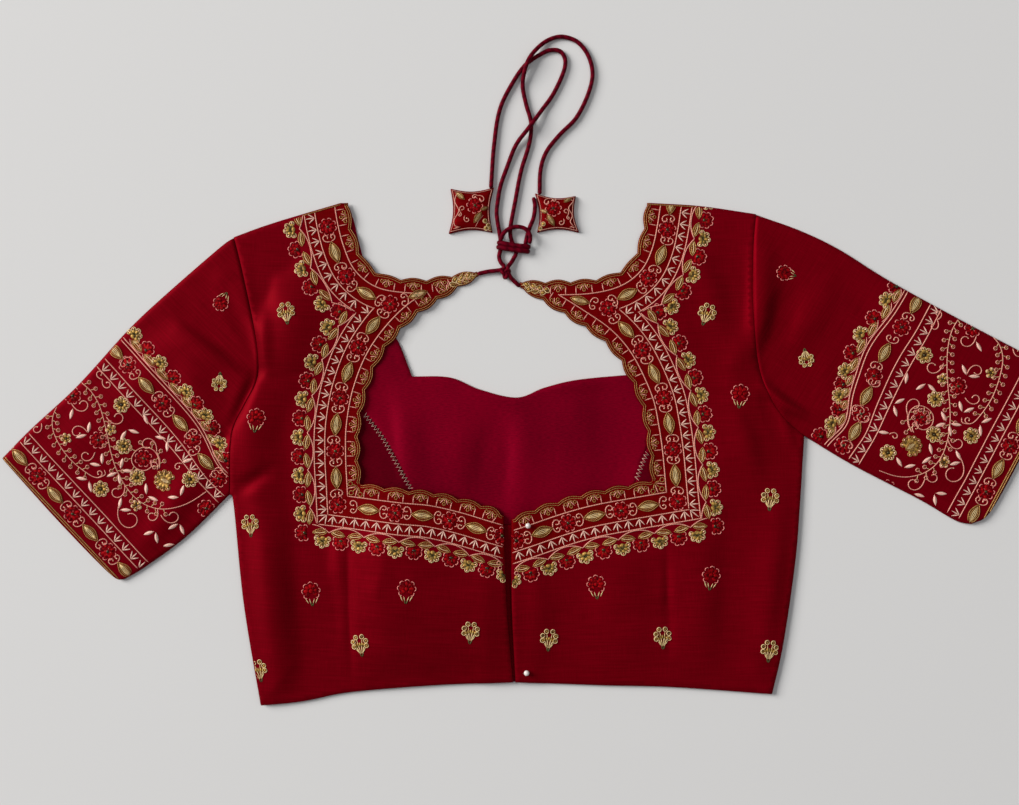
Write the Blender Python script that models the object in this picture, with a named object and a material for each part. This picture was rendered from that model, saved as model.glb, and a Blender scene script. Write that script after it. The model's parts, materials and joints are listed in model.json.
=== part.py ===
"""Choli blouse with a keyhole back, laid flat with its back facing up.

Every table is in millimetres; the solids are built in metres.  +X runs towards the right
sleeve, +Y towards the neck and +Z out of the back of the blouse.  z = 0 is the surface it
lies on, and the origin is the middle of the blouse there.

The front lies flat on the surface in three pieces, sewn along princess seams.  The back lies
on it in two pieces, open down the centre over a placket, with a keyhole cut under a neck that
is tied by two cords.  Each sleeve is one flattened tube, open at the armhole and at the cuff.
"""
import math

import bmesh
import bpy
import numpy as np
from mathutils import Matrix, Vector

MM = 0.001

# ---- Driving sizes, mm -------------------------------------------------------------------
WALL = 1.2                  # silk, embroidery ground and lining, sewn together
SEAM_GAP = 0.3              # clearance between two pieces that are sewn edge to edge
PLACKET_WALL = 1.0          # plain strip behind the centre-back opening
LAYER_REST = WALL + SEAM_GAP                             # underside of a layer on the front
PLACKET_REST = LAYER_REST + PLACKET_WALL + SEAM_GAP      # underside of the back over the placket
TIP_REST = 0.4              # underside of the neck tips, which reach past the front
PUFF = 1.7                  # how far the back stands off the front between its edges
PUFF_REACH = 34.0           # distance from a sewn edge over which it rises
PUFF_AT_OPENING = 0.25      # share of that rise which is left along the neck and the keyhole
OPENING_REACH = 0.6         # the rise begins again this share of PUFF_REACH from them
HIGHEST_GAP = 3.6           # the layers are never further apart than this
PLACKET_MARGIN = (1.5, 4.0)     # how far past the placket's side and top the back stays raised
PLACKET_FADE = (15.0, 13.0)     # and over what distance it comes down from there
TIPS_SPAN = (-104.0, -25.0, 62.0)      # left end, middle and right end of the neck tips
TIPS_LOW = 60.0             # the front's neckline, above which the tips lie on the surface
TIPS_FADE = (45.0, 12.0)    # over what distance they come down to it, along X and along Y
FOLD_AT_END = 0.12          # how far along its sine wave a fold starts
FOLD_AT_SEAM = 0.35         # share of a fold's height that is left at a sewn edge
PANEL_CELL = 12.0           # mesh spacing on a panel
CURVE_STEP = 9.0            # spacing of points along a plain edge
SCALLOP_PITCH = 18.0        # one scallop of the neck and keyhole edges
SCALLOP_DEPTH = 2.0
SCALLOP_STEPS = 5
CORD_DIAMETER = 3.2
CORD_STEP = 6.5             # about two diameters
CORD_LIE = CORD_DIAMETER / 2                             # height of a cord's centre, lying
CORD_OVER = CORD_LIE + CORD_DIAMETER + 0.5               # height of its centre over another
PIN_HEAD = 4.1              # diameter of a pearl pin head

# ---- Edges, mm: points (x, y) that a smooth curve runs through -----------------------------
SHOULDER_LEFT = ((-144.0, 187.4), (-194.2, 172.5), (-223.5, 162.0))
NECK_LEFT = ((-138.5, 187.6), (-135.8, 172.5), (-132.0, 158.5), (-125.5, 144.0), (-114.0, 134.5),
             (-99.0, 131.0), (-79.5, 130.5), (-58.0, 134.0), (-42.0, 136.3))
KEYHOLE_LEFT = ((-40.8, 133.4), (-62.2, 120.8), (-91.5, 100.5), (-113.0, 74.5), (-124.5, 47.2),
                (-129.5, 21.0), (-130.0, -1.9), (-129.0, -22.5))
KEYHOLE_LEFT_LOW = ((-129.0, -22.5), (-97.9, -26.2), (-75.0, -28.5), (-51.8, -33.8),
                    (-31.5, -39.8), (-22.1, -46.1))
CENTRE_LEFT = ((-22.1, -46.1), (-20.0, -110.0), (-15.2, -170.2))
HEM_LEFT = ((-203.2, -187.6), (-171.8, -184.5), (-137.2, -177.8), (-75.0, -172.5), (-15.2, -170.2))
SIDE_LEFT = ((-226.5, -30.0), (-223.5, -38.0), (-216.0, -111.0), (-203.2, -187.6))
ARMHOLE_LEFT = ((-223.5, 162.0), (-217.5, 138.0), (-210.8, 108.0), (-205.5, 78.0), (-206.2, 55.5),
                (-214.5, 38.2), (-222.8, 21.8), (-225.8, 4.0), (-226.5, -30.0))
OUTER_LEFT = ((-223.5, 162.0), (-234.0, 155.0), (-275.2, 119.2), (-303.0, 93.0), (-341.2, 51.0),
              (-375.8, 18.8), (-397.2, -3.0))
CUFF_LEFT = ((-397.2, -3.0), (-354.8, -50.2), (-315.8, -90.0), (-305.2, -93.5))
UNDER_LEFT = ((-226.5, -30.0), (-259.1, -61.5), (-289.5, -84.0), (-305.2, -93.5))

SHOULDER_RIGHT = ((85.5, 187.6), (124.5, 185.2), (166.5, 179.2))
NECK_RIGHT = ((-9.8, 128.4), (11.2, 129.0), (39.8, 129.8), (60.0, 134.2), (72.8, 143.2),
              (79.5, 156.4), (82.9, 171.0), (85.5, 187.6))
KEYHOLE_RIGHT = ((-9.0, 124.6), (9.8, 113.2), (32.6, 99.0), (52.5, 84.8), (66.8, 67.5),
                 (79.5, 40.5), (84.0, 21.0), (87.0, 0.4), (88.9, -20.2))
KEYHOLE_RIGHT_LOW = ((88.9, -20.2), (55.5, -26.0), (37.5, -29.8), (18.8, -35.2),
                     (-1.5, -42.0), (-15.8, -48.8))
CENTRE_RIGHT = ((-15.8, -48.8), (-15.6, -110.0), (-12.8, -170.2))
HEM_RIGHT = ((-12.8, -170.2), (50.2, -172.5), (105.4, -174.0), (178.5, -179.2))
SIDE_RIGHT = ((202.5, 13.5), (199.5, -34.5), (195.8, -80.2), (186.8, -141.8), (178.5, -179.2))
ARMHOLE_RIGHT = ((166.5, 179.2), (164.2, 153.0), (163.5, 115.5), (166.5, 78.0), (172.5, 51.8),
                 (185.2, 29.2), (202.5, 13.5))
OUTER_RIGHT = ((166.5, 179.2), (200.2, 167.2), (229.5, 153.0), (265.5, 130.5), (318.8, 101.2),
               (364.5, 77.2), (397.2, 60.0))
CUFF_RIGHT = ((397.2, 60.0), (371.2, 9.8), (342.8, -42.0), (327.8, -52.5))
UNDER_RIGHT = ((202.5, 13.5), (240.0, -8.6), (288.8, -33.8), (315.8, -49.5), (327.8, -52.5))

FRONT_STRAP_LEFT = ((-144.0, 187.4), (-138.5, 160.5), (-129.5, 134.2), (-113.2, 104.2),
                    (-101.2, 84.0), (-90.8, 57.8))
FRONT_NECK = ((-90.8, 57.8), (-62.2, 57.0), (-39.8, 48.0), (-12.0, 42.0), (9.0, 49.5),
              (35.2, 55.5), (84.0, 60.0))
FRONT_STRAP_RIGHT = ((84.0, 60.0), (82.5, 81.8), (80.5, 108.0), (84.0, 134.2), (89.0, 160.5),
                     (91.0, 187.4))
PRINCESS_LEFT = ((-206.2, 81.8), (-174.8, 64.5), (-125.2, 30.0), (-92.2, -24.8), (-81.0, -79.5),
                 (-77.2, -172.5))
PRINCESS_RIGHT = ((167.2, 76.5), (136.5, 61.5), (95.2, 21.8), (76.9, -20.2), (63.8, -79.5),
                  (57.8, -172.5))
PLACKET_TOP = -53.0
PLACKET_MIDDLE = -17.5
PLACKET_HALF = 13.5
PLACKET_END = -167.5
PLACKET = ((PLACKET_MIDDLE - PLACKET_HALF, PLACKET_TOP), (PLACKET_MIDDLE + PLACKET_HALF, PLACKET_TOP),
           (PLACKET_MIDDLE + PLACKET_HALF, PLACKET_END), (PLACKET_MIDDLE - PLACKET_HALF, PLACKET_END))

# ---- Folds, mm: a ridge (+) or trough (-) along a line, of a half width, fading at its ends --
# name, x0, y0, x1, y1, half_width, height
FOLDS = (
    ("left armhole valley", -218, 150, -206, 70, 9, -1.6),
    ("left sleeve head", -236, 140, -224, 84, 13, 1.1),
    ("left sleeve crease", -252, 108, -209, 60, 8, -1.3),
    ("left underarm crease", -208, 62, -229, 12, 6, -1.5),
    ("left underarm roll", -221, 12, -220, -34, 6, 1.2),
    ("left tuck", -219, -36, -192, -12, 6, -1.4),
    ("left chest", -190, 60, -176, 130, 20, 0.9),
    ("left chest hollow", -192, 36, -196, -4, 14, -1.0),
    ("left side roll", -212, -56, -199, -176, 9, 1.3),
    ("left side hollow", -184, -48, -176, -176, 15, -1.3),
    ("left dart roll", -152, -62, -150, -170, 13, 1.0),
    ("left dart", -138.8, -73, -136, -171, 4, -1.1),
    ("left waist roll", -121, -58, -104, -166, 20, 0.9),
    ("left waist hollow", -76, -62, -62, -166, 20, -0.8),
    ("right shoulder roll", 154, 164, 160, 84, 8, 1.0),
    ("right shoulder hollow", 142, 150, 147, 70, 10, -1.0),
    ("right armhole valley", 172, 160, 169, 80, 8, -1.3),
    ("right sleeve crease", 196, 116, 173, 68, 7, -1.4),
    ("right sleeve ridge", 218, 92, 178, 66, 10, 1.2),
    ("right sleeve hollow", 176, 62, 226, 44, 9, -1.5),
    ("right underarm ridge", 172, 55, 206, 24, 6, 1.4),
    ("right underarm crease", 172, 44, 199, -4, 7, -1.6),
    ("right underarm roll", 160, 36, 178, -14, 9, 1.0),
    ("right chest hollow", 128, 96, 132, 20, 15, -0.7),
    ("right dart", 99.8, -69.0, 102, -172, 4, -1.1),
    ("right dart roll", 116, -62, 120, -168, 16, 0.8),
    ("right side hollow", 152, -34, 150, -160, 18, -0.8),
    ("right side roll", 180, -24, 168, -165, 12, 0.9),
    ("right waist roll", 46, -66, 52, -160, 24, 0.7),
    ("left sleeve roll", -262, 84, -300, 24, 20, 0.9),
    ("left sleeve hollow", -268, 30, -308, -30, 16, -1.0),
    ("left cuff roll", -330, 36, -352, 2, 16, 0.8),
    ("left cuff hollow", -316, -34, -332, -62, 12, -0.7),
    ("right sleeve roll", 246, 108, 330, 72, 18, 0.9),
    ("right cuff hollow", 268, 50, 346, 16, 18, -1.0),
    ("right cuff roll", 262, 14, 324, -20, 14, 0.7),
)

# ---- Cord routes, mm: points (x, y, z) that a smooth curve runs through ---------------------
KNOT_CENTRE = (-20.6, 136.0, 3.2)
KNOT_HALF = (3.4, 4.6, 3.1)
KEEPER_CENTRE = (-14.6, 154.9)
KEEPER_SIZE = (27.8, 6.0, 6.0)                     # outside length, width and height
KEEPER_SIDE = 1.2                                  # its two ends, which reach the surface
KEEPER_CORNER = 1.0
KEEPER_ROOM = CORD_DIAMETER + 0.6                 # height left for the cords under it
KEEPER_TILT = math.radians(-8.0)
LOWER_ROUTE_LEFT = ((-40.6, 134.7, CORD_LIE), (-33.0, 137.0, 2.0))
LOWER_ROUTE_RIGHT = ((-11.2, 126.4, CORD_LIE), (-13.8, 128.9, 2.2))
UPPER_ROUTE_LEFT = ((-25.4, 148.0, CORD_LIE), (-24.0, 156.0, CORD_LIE), (-25.0, 165.0, CORD_LIE),
                    (-27.2, 179.2, CORD_LIE), (-26.2, 190.5, CORD_LIE), (-24.0, 201.8, CORD_LIE),
                    (-19.5, 214.5, CORD_LIE), (-12.8, 231.0, 2.6), (-2.4, 244.6, CORD_OVER),
                    (6.4, 257.0, 2.6), (15.0, 269.2, CORD_LIE), (22.3, 284.5, CORD_LIE),
                    (24.2, 294.4, CORD_LIE), (20.6, 301.3, CORD_LIE), (13.2, 302.4, CORD_LIE),
                    (5.6, 299.2, CORD_LIE), (-5.2, 291.8, CORD_LIE), (-15.0, 278.2, CORD_LIE),
                    (-24.8, 258.0, CORD_LIE), (-29.2, 231.0, CORD_LIE), (-31.5, 199.9, CORD_LIE))
UPPER_ROUTE_RIGHT = ((-14.8, 146.0, CORD_LIE), (-12.6, 151.5, CORD_LIE), (-16.2, 160.5, CORD_LIE),
                     (-16.9, 169.5, CORD_LIE), (-13.5, 188.2, CORD_LIE), (-9.0, 211.5, CORD_LIE),
                     (-2.6, 233.2, CORD_LIE), (-1.5, 248.2, CORD_LIE), (-5.2, 262.0, CORD_LIE),
                     (-7.7, 275.0, 2.0), (-6.4, 286.0, 4.3), (-2.6, 295.8, CORD_OVER),
                     (4.9, 305.0, 3.0), (13.0, 310.6, CORD_LIE), (22.5, 312.4, CORD_LIE),
                     (33.4, 308.4, CORD_LIE), (41.4, 298.1, CORD_LIE), (44.6, 284.2, CORD_LIE),
                     (40.9, 268.5, CORD_LIE), (32.2, 251.5, CORD_LIE), (19.5, 238.5, CORD_LIE),
                     (9.8, 225.8, CORD_LIE), (5.6, 212.2, CORD_LIE), (4.9, 194.3, CORD_LIE))
TAIL_ROUTE = ((0.2, 187.0, CORD_LIE), (-1.6, 174.0, CORD_LIE), (-4.6, 163.0, CORD_LIE),
              (-6.0, 156.0, CORD_LIE))
RING_ROUTE = ((-24.0, 159.9, CORD_OVER), (-22.4, 164.4, CORD_OVER), (-17.6, 168.4, CORD_OVER),
              (-11.2, 169.7, CORD_OVER), (-5.2, 167.8, CORD_OVER), (-2.2, 163.0, CORD_OVER),
              (-2.6, 157.0, CORD_OVER))

# ---- Tassels, mm: corners from the top left clockwise, and how far each side curves in -------
TASSEL_LEFT = ((-61.4, 198.3), (-29.5, 199.3), (-30.5, 166.0), (-62.8, 165.0))
TASSEL_RIGHT = ((1.8, 194.9), (31.8, 192.9), (34.3, 166.0), (3.4, 166.0))
TASSEL_SIDE_DIP = 2.6
TASSEL_SIDE_STEPS = 6
# how far in from the outline a ring of the tassel lies (0 to 1), and its height, mm
TASSEL_RINGS = ((0.06, 0.0), (0.0, 0.6), (0.0, 2.0), (0.08, 3.0), (0.28, 3.9), (0.55, 4.5),
                (0.82, 4.7))

# Pearl pin heads on the right back panel, mm
PINS = (("pin_head_top", -3.8, -53.2), ("pin_head_bottom", -4.9, -163.0))

# ---- Colours and finishes: red, green, blue, roughness, metallic -----------------------------
FINISHES = {
    "crimson_silk": (0.22, 0.004, 0.012, 0.45, 0.0),
    "wine_lining": (0.17, 0.004, 0.03, 0.55, 0.0),
    "wine_cord": (0.15, 0.003, 0.02, 0.5, 0.0),
    "pearl": (0.85, 0.8, 0.76, 0.25, 0.0),
}


# ---- Curves ----------------------------------------------------------------------------------
def spline_point(before, start, end, after, t):
    """Point at t (0 to 1) from start to end on the Catmull-Rom curve through four points."""
    return 0.5 * (2 * start + (end - before) * t
                  + (2 * before - 5 * start + 4 * end - after) * t ** 2
                  + (3 * start - before - 3 * end + after) * t ** 3)


def smooth(points, step):
    """Evenly spaced points, about a step apart, on a smooth curve through the given ones."""
    knots = [np.array(p, float) for p in points]
    knots = [2 * knots[0] - knots[1], *knots, 2 * knots[-1] - knots[-2]]
    dense = [knots[1]]
    for i in range(1, len(knots) - 2):
        for t in np.linspace(0, 1, 25)[1:]:
            dense.append(spline_point(*knots[i - 1:i + 3], t))
    return spread(dense, max(1, round(length_of(dense) / step)))


def length_of(points):
    points = np.array(points)
    return float(np.linalg.norm(np.diff(points, axis=0), axis=1).sum())


def spread(points, count):
    """count + 1 points at even distances along a line of points."""
    points = np.array(points)
    travelled = np.concatenate([[0], np.cumsum(np.linalg.norm(np.diff(points, axis=0), axis=1))])
    wanted = np.linspace(0, travelled[-1], count + 1)
    columns = [np.interp(wanted, travelled, points[:, k]) for k in range(points.shape[1])]
    return np.array(columns).T


def along(points, fraction):
    """Point at a fraction (0 to 1) of the length of a line of points."""
    travelled = np.concatenate([[0], np.cumsum(np.linalg.norm(np.diff(points, axis=0), axis=1))])
    wanted = fraction * travelled[-1]
    return np.array([np.interp(wanted, travelled, points[:, k]) for k in range(2)])


def moved_left(points, distance):
    """The line moved to its own left by a distance."""
    heading = np.gradient(points, axis=0)
    heading /= np.linalg.norm(heading, axis=1)[:, None]
    return points + distance * np.stack([-heading[:, 1], heading[:, 0]], axis=1)


def scalloped(points, side):
    """A smooth edge with scallops that swell to its left (side 1) or its right (side -1)."""
    count = max(1, round(length_of(smooth(points, 2.0)) / SCALLOP_PITCH))
    base = spread(smooth(points, 2.0), count * SCALLOP_STEPS)
    phase = np.arange(len(base)) / SCALLOP_STEPS
    swell = side * SCALLOP_DEPTH * (np.abs(np.sin(math.pi * phase)) - 0.5)
    swell[0] = swell[-1] = 0
    heading = np.gradient(base, axis=0)
    heading /= np.linalg.norm(heading, axis=1)[:, None]
    return base + swell[:, None] * np.stack([-heading[:, 1], heading[:, 0]], axis=1)


def joined(*lines):
    """One closed outline from lines that follow each other, without doubled points."""
    outline = []
    for line in lines:
        for point in line:
            if not outline or math.dist(outline[-1], point) > 0.2:
                outline.append((float(point[0]), float(point[1])))
    while math.dist(outline[0], outline[-1]) <= 0.2:
        outline.pop()
    return outline


# ---- Heights -----------------------------------------------------------------------------------
def ease(t):
    """0 below 0 and 1 above 1, with a smooth rise between."""
    t = np.clip(t, 0, 1)
    return t * t * (3 - 2 * t)


def place_on_segment(x, y, x0, y0, x1, y1):
    """Distance from a segment, and the place along it from 0 to 1."""
    dx, dy = x1 - x0, y1 - y0
    t = np.clip(((x - x0) * dx + (y - y0) * dy) / (dx * dx + dy * dy), 0, 1)
    return np.hypot(x - x0 - t * dx, y - y0 - t * dy), t


def distance_from(lines, x, y):
    nearest = np.full(np.shape(x), 1e9)
    for line in lines:
        for (x0, y0), (x1, y1) in zip(line[:-1], line[1:]):
            nearest = np.minimum(nearest, place_on_segment(x, y, x0, y0, x1, y1)[0])
    return nearest


SEWN_EDGES = [smooth(edge, 30.0) for edge in (
    SHOULDER_LEFT, OUTER_LEFT, CUFF_LEFT, UNDER_LEFT, SIDE_LEFT, HEM_LEFT,
    SHOULDER_RIGHT, OUTER_RIGHT, CUFF_RIGHT, UNDER_RIGHT, SIDE_RIGHT, HEM_RIGHT)]
CUT_EDGES = [smooth(edge, 20.0) for edge in (
    NECK_LEFT, KEYHOLE_LEFT, KEYHOLE_LEFT_LOW, NECK_RIGHT, KEYHOLE_RIGHT, KEYHOLE_RIGHT_LOW,
    CENTRE_LEFT, CENTRE_RIGHT)]


def rest_height(x, y):
    """Underside of the upper layer where it simply rests on what is under it."""
    beside = np.abs(x - PLACKET_MIDDLE) - PLACKET_HALF - PLACKET_MARGIN[0]
    above = y - PLACKET_TOP - PLACKET_MARGIN[1]
    placket = ease(1 - beside / PLACKET_FADE[0]) * ease(1 - above / PLACKET_FADE[1])
    left_end, middle, right_end = TIPS_SPAN
    inside = np.where(x < middle, x - left_end, right_end - x)
    tips = ease((y - TIPS_LOW) / TIPS_FADE[1]) * ease(inside / TIPS_FADE[0])
    return LAYER_REST + (PLACKET_REST - LAYER_REST) * placket - (LAYER_REST - TIP_REST) * tips


def under_height(x, y):
    """Underside of the back panels and of the upper side of the sleeves, mm."""
    x = np.asarray(x, float)
    y = np.asarray(y, float)
    rest = rest_height(x, y)
    sewn = 1 - np.exp(-(distance_from(SEWN_EDGES, x, y) / PUFF_REACH) ** 2)
    cut = 1 - np.exp(-(distance_from(CUT_EDGES, x, y) / (PUFF_REACH * OPENING_REACH)) ** 2)
    lift = PUFF * sewn * (PUFF_AT_OPENING + (1 - PUFF_AT_OPENING) * cut)
    for _name, x0, y0, x1, y1, half_width, height in FOLDS:
        distance, t = place_on_segment(x, y, x0, y0, x1, y1)
        fade = np.sin(math.pi * (FOLD_AT_END + (1 - 2 * FOLD_AT_END) * t))
        at_seam = FOLD_AT_SEAM + (1 - FOLD_AT_SEAM) * sewn
        lift += height * fade * np.exp(-(distance / half_width) ** 2) * at_seam
    return rest + np.clip(lift, 0, LAYER_REST + HIGHEST_GAP - SEAM_GAP - rest)


# ---- Solids --------------------------------------------------------------------------------------
def make_object(name, bm, collection, finish, smooth_shaded=True):
    bmesh.ops.recalc_face_normals(bm, faces=bm.faces[:])
    mesh = bpy.data.meshes.new(name)
    bm.to_mesh(mesh)
    bm.free()
    mesh.materials.append(material(finish))
    if smooth_shaded:
        mesh.shade_smooth()
        mesh.set_sharp_from_angle(angle=math.radians(40))
    collection.objects.link(bpy.data.objects.new(name, mesh))


def material(finish):
    found = bpy.data.materials.get(finish)
    if found:
        return found
    red, green, blue, roughness, metallic = FINISHES[finish]
    made = bpy.data.materials.new(finish)
    made.use_nodes = True
    shader = made.node_tree.nodes["Principled BSDF"]
    shader.inputs["Base Color"].default_value = (red, green, blue, 1)
    shader.inputs["Roughness"].default_value = roughness
    shader.inputs["Metallic"].default_value = metallic
    return made


def cut_into_cells(bm, cell):
    """Cut the flat faces along a square grid, so that they can take a curved form."""
    for axis in (0, 1):
        low = min(v.co[axis] for v in bm.verts) / MM
        high = max(v.co[axis] for v in bm.verts) / MM
        for step in range(math.ceil(low / cell), math.floor(high / cell) + 1):
            point = Vector((0, 0, 0))
            point[axis] = step * cell * MM
            normal = Vector((0, 0, 0))
            normal[axis] = 1
            bmesh.ops.bisect_plane(bm, geom=bm.verts[:] + bm.edges[:] + bm.faces[:],
                                   dist=1e-6, plane_co=point, plane_no=normal)


def flat_panel(name, outline, collection, finish, rest, wall):
    """A flat wall over an outline, with its underside at the height rest."""
    curve = bpy.data.curves.new(name, "CURVE")
    curve.dimensions = "2D"
    curve.fill_mode = "BOTH"
    curve.extrude = wall / 2 * MM
    spline = curve.splines.new("POLY")
    spline.points.add(len(outline) - 1)
    for corner, (x, y) in zip(spline.points, outline):
        corner.co = (x * MM, y * MM, 0, 1)
    spline.use_cyclic_u = True
    curve.materials.append(material(finish))
    wall_object = bpy.data.objects.new(name, curve)
    wall_object.location.z = (rest + wall / 2) * MM
    collection.objects.link(wall_object)


def curved_panel(name, outline, collection, finish, under, wall):
    """A wall over an outline; under(x, y) is the height of its underside."""
    bm = bmesh.new()
    bm.faces.new([bm.verts.new((x * MM, y * MM, 0)) for x, y in outline])
    cut_into_cells(bm, PANEL_CELL)
    bmesh.ops.triangulate(bm, faces=bm.faces[:], ngon_method="EAR_CLIP")
    x = np.array([v.co.x for v in bm.verts]) / MM
    y = np.array([v.co.y for v in bm.verts]) / MM
    for vert, height in zip(bm.verts, under(x, y)):
        vert.co.z = height * MM
    raised = bmesh.ops.extrude_face_region(bm, geom=bm.faces[:], use_keep_orig=True)
    for item in raised["geom"]:
        if isinstance(item, bmesh.types.BMVert):
            item.co.z += wall * MM
    make_object(name, bm, collection, finish)


def loft(name, loops, collection, finish, capped):
    """A skin over closed loops of as many points each, capped by a flat face at both ends."""
    bm = bmesh.new()
    rows = [[bm.verts.new(Vector(point) * MM) for point in loop] for loop in loops]
    count = len(rows[0])
    pairs = list(zip(rows[:-1], rows[1:]))
    if not capped:
        pairs.append((rows[-1], rows[0]))
    for row, following in pairs:
        for i in range(count):
            j = (i + 1) % count
            bm.faces.new((row[i], row[j], following[j], following[i]))
    if capped:
        bm.faces.new(rows[0])
        bm.faces.new(rows[-1])
    bmesh.ops.triangulate(bm, faces=bm.faces[:])
    make_object(name, bm, collection, finish)


# A sleeve's cross-section near its two folded edges: distance from the edge, and how far the
# skin has spread from mid height there (0 to 1), for the outer and the inner skin
OUTER_NOSE = ((0.45, 0.72), (1.5, 1.0))
INNER_NOSE = ((2.4, 0.5), (4.6, 1.0))
NOSE_HEIGHT = (2 * WALL + SEAM_GAP) / 2
SLEEVE_COLUMNS = 15
SLEEVE_ROWS = 17


def sleeve_line(row, armhole, cuff, outer, under):
    """Function giving the plan point at a fraction across the sleeve, at a row along it."""
    s = row / SLEEVE_ROWS
    corners = armhole[0], armhole[-1], cuff[0], cuff[-1]

    def point(t):
        ends = (1 - s) * along(armhole, t) + s * along(cuff, t)
        sides = (1 - t) * along(outer, s) + t * along(under, s)
        flat = ((1 - s) * (1 - t) * corners[0] + (1 - s) * t * corners[1]
                + s * (1 - t) * corners[2] + s * t * corners[3])
        return ends + sides - flat
    return point


def sleeve_ring(line, width, nose, edge_inset, lift):
    """One closed section: across the top from the outer fold, and back across the bottom."""
    places = [(d / width, spread_out) for d, spread_out in nose]
    places += [(j / SLEEVE_COLUMNS, 1.0) for j in range(1, SLEEVE_COLUMNS)]
    places += [(1 - d / width, spread_out) for d, spread_out in reversed(nose)]
    plan = np.array([line(t) for t, _ in places])
    share = np.array([spread_out for _, spread_out in places])
    top = under_height(plan[:, 0], plan[:, 1]) + WALL - lift
    top = NOSE_HEIGHT + (top - NOSE_HEIGHT) * share
    bottom = NOSE_HEIGHT + (lift - NOSE_HEIGHT) * share
    start = line(edge_inset / width)
    end = line(1 - edge_inset / width)
    ring = [(*start, NOSE_HEIGHT)]
    ring += [(x, y, z) for (x, y), z in zip(plan, top)]
    ring += [(*end, NOSE_HEIGHT)]
    ring += [(x, y, z) for (x, y), z in zip(plan[::-1], bottom[::-1])]
    return ring


def sleeve(name, armhole, cuff, outer, under, collection):
    """A flattened tube: an outer and an inner skin, joined at the armhole and at the cuff."""
    outside = []
    inside = []
    for row in range(SLEEVE_ROWS + 1):
        line = sleeve_line(row, armhole, cuff, outer, under)
        width = float(np.linalg.norm(line(1.0) - line(0.0)))
        outside.append(sleeve_ring(line, width, OUTER_NOSE, 0.0, 0.0))
        inside.append(sleeve_ring(line, width, INNER_NOSE, WALL, WALL))
    loft(name, outside + inside[::-1], collection, "crimson_silk", capped=False)


def cord(name, route, collection):
    """A round cord of even thickness along a smooth route."""
    curve = bpy.data.curves.new(name, "CURVE")
    curve.dimensions = "3D"
    curve.bevel_depth = CORD_DIAMETER / 2 * MM
    curve.bevel_resolution = 2
    curve.use_fill_caps = True
    points = smooth(route, CORD_STEP)
    spline = curve.splines.new("POLY")
    spline.points.add(len(points) - 1)
    for spline_end, (x, y, z) in zip(spline.points, points):
        spline_end.co = (x * MM, y * MM, max(z, CORD_LIE) * MM, 1)
    curve.materials.append(material("wine_cord"))
    collection.objects.link(bpy.data.objects.new(name, curve))


def knot_side(towards):
    """Where a cord that comes from a point meets the knot, one gap off its surface."""
    reach = np.array([towards[0] - KNOT_CENTRE[0], towards[1] - KNOT_CENTRE[1]])
    heading = reach / np.linalg.norm(reach)
    surface = 1 / math.hypot(heading[0] / KNOT_HALF[0], heading[1] / KNOT_HALF[1])
    x, y = np.array(KNOT_CENTRE[:2]) + heading * (surface + SEAM_GAP)
    return (x, y, KNOT_CENTRE[2])


def ball(name, centre, half, collection, finish):
    bm = bmesh.new()
    bmesh.ops.create_uvsphere(bm, u_segments=12, v_segments=8, radius=MM)
    bmesh.ops.scale(bm, vec=Vector(half), verts=bm.verts[:])
    bmesh.ops.translate(bm, vec=Vector(centre) * MM, verts=bm.verts[:])
    make_object(name, bm, collection, finish)


def keeper(collection):
    """The cord that wraps the strands: a bar over them with an end down on each side."""
    length, width, height = KEEPER_SIZE
    half = length / 2
    room = half - KEEPER_SIDE
    shoulder = height - KEEPER_CORNER
    top = half - KEEPER_CORNER
    profile = ((-half, 0), (-half, shoulder), (-top, height), (top, height), (half, shoulder),
               (half, 0), (room, 0), (room, KEEPER_ROOM), (-room, KEEPER_ROOM), (-room, 0))
    bm = bmesh.new()
    face = bm.faces.new([bm.verts.new((x * MM, -width / 2 * MM, z * MM)) for x, z in profile])
    raised = bmesh.ops.extrude_face_region(bm, geom=[face], use_keep_orig=True)
    moved = [item for item in raised["geom"] if isinstance(item, bmesh.types.BMVert)]
    bmesh.ops.translate(bm, vec=Vector((0, width * MM, 0)), verts=moved)
    tilt = Matrix.Rotation(KEEPER_TILT, 3, "Z")
    bmesh.ops.rotate(bm, cent=Vector(), matrix=tilt, verts=bm.verts[:])
    bmesh.ops.translate(bm, vec=Vector((*KEEPER_CENTRE, 0)) * MM, verts=bm.verts[:])
    bmesh.ops.triangulate(bm, faces=bm.faces[:])
    make_object("cord_keeper", bm, collection, "wine_cord", smooth_shaded=False)


def tassel(name, corners, collection):
    """A small padded square with sides that curve in, flat underneath."""
    outline = []
    for (x0, y0), (x1, y1) in zip(corners, corners[1:] + corners[:1]):
        side = math.hypot(x1 - x0, y1 - y0)
        for t in np.arange(TASSEL_SIDE_STEPS) / TASSEL_SIDE_STEPS:
            dip = TASSEL_SIDE_DIP * math.sin(math.pi * t)
            outline.append((x0 + t * (x1 - x0) + dip * (y1 - y0) / side,
                            y0 + t * (y1 - y0) - dip * (x1 - x0) / side))
    outline = np.array(outline)
    middle = outline.mean(axis=0)
    loops = [[(*(point + (middle - point) * inset), height) for point in outline]
             for inset, height in TASSEL_RINGS]
    loft(name, loops, collection, "crimson_silk", capped=True)


# ---- The pieces ------------------------------------------------------------------------------------
def split_at(line, target):
    """The line up to its point nearest the target, and the line on from there."""
    nearest = int(np.argmin(np.linalg.norm(np.array(line) - np.array(target), axis=1)))
    return line[:nearest + 1], line[nearest:]


def armhole_line(points):
    dense = smooth(points, 2.0)
    return spread(dense, SLEEVE_COLUMNS)


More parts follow.
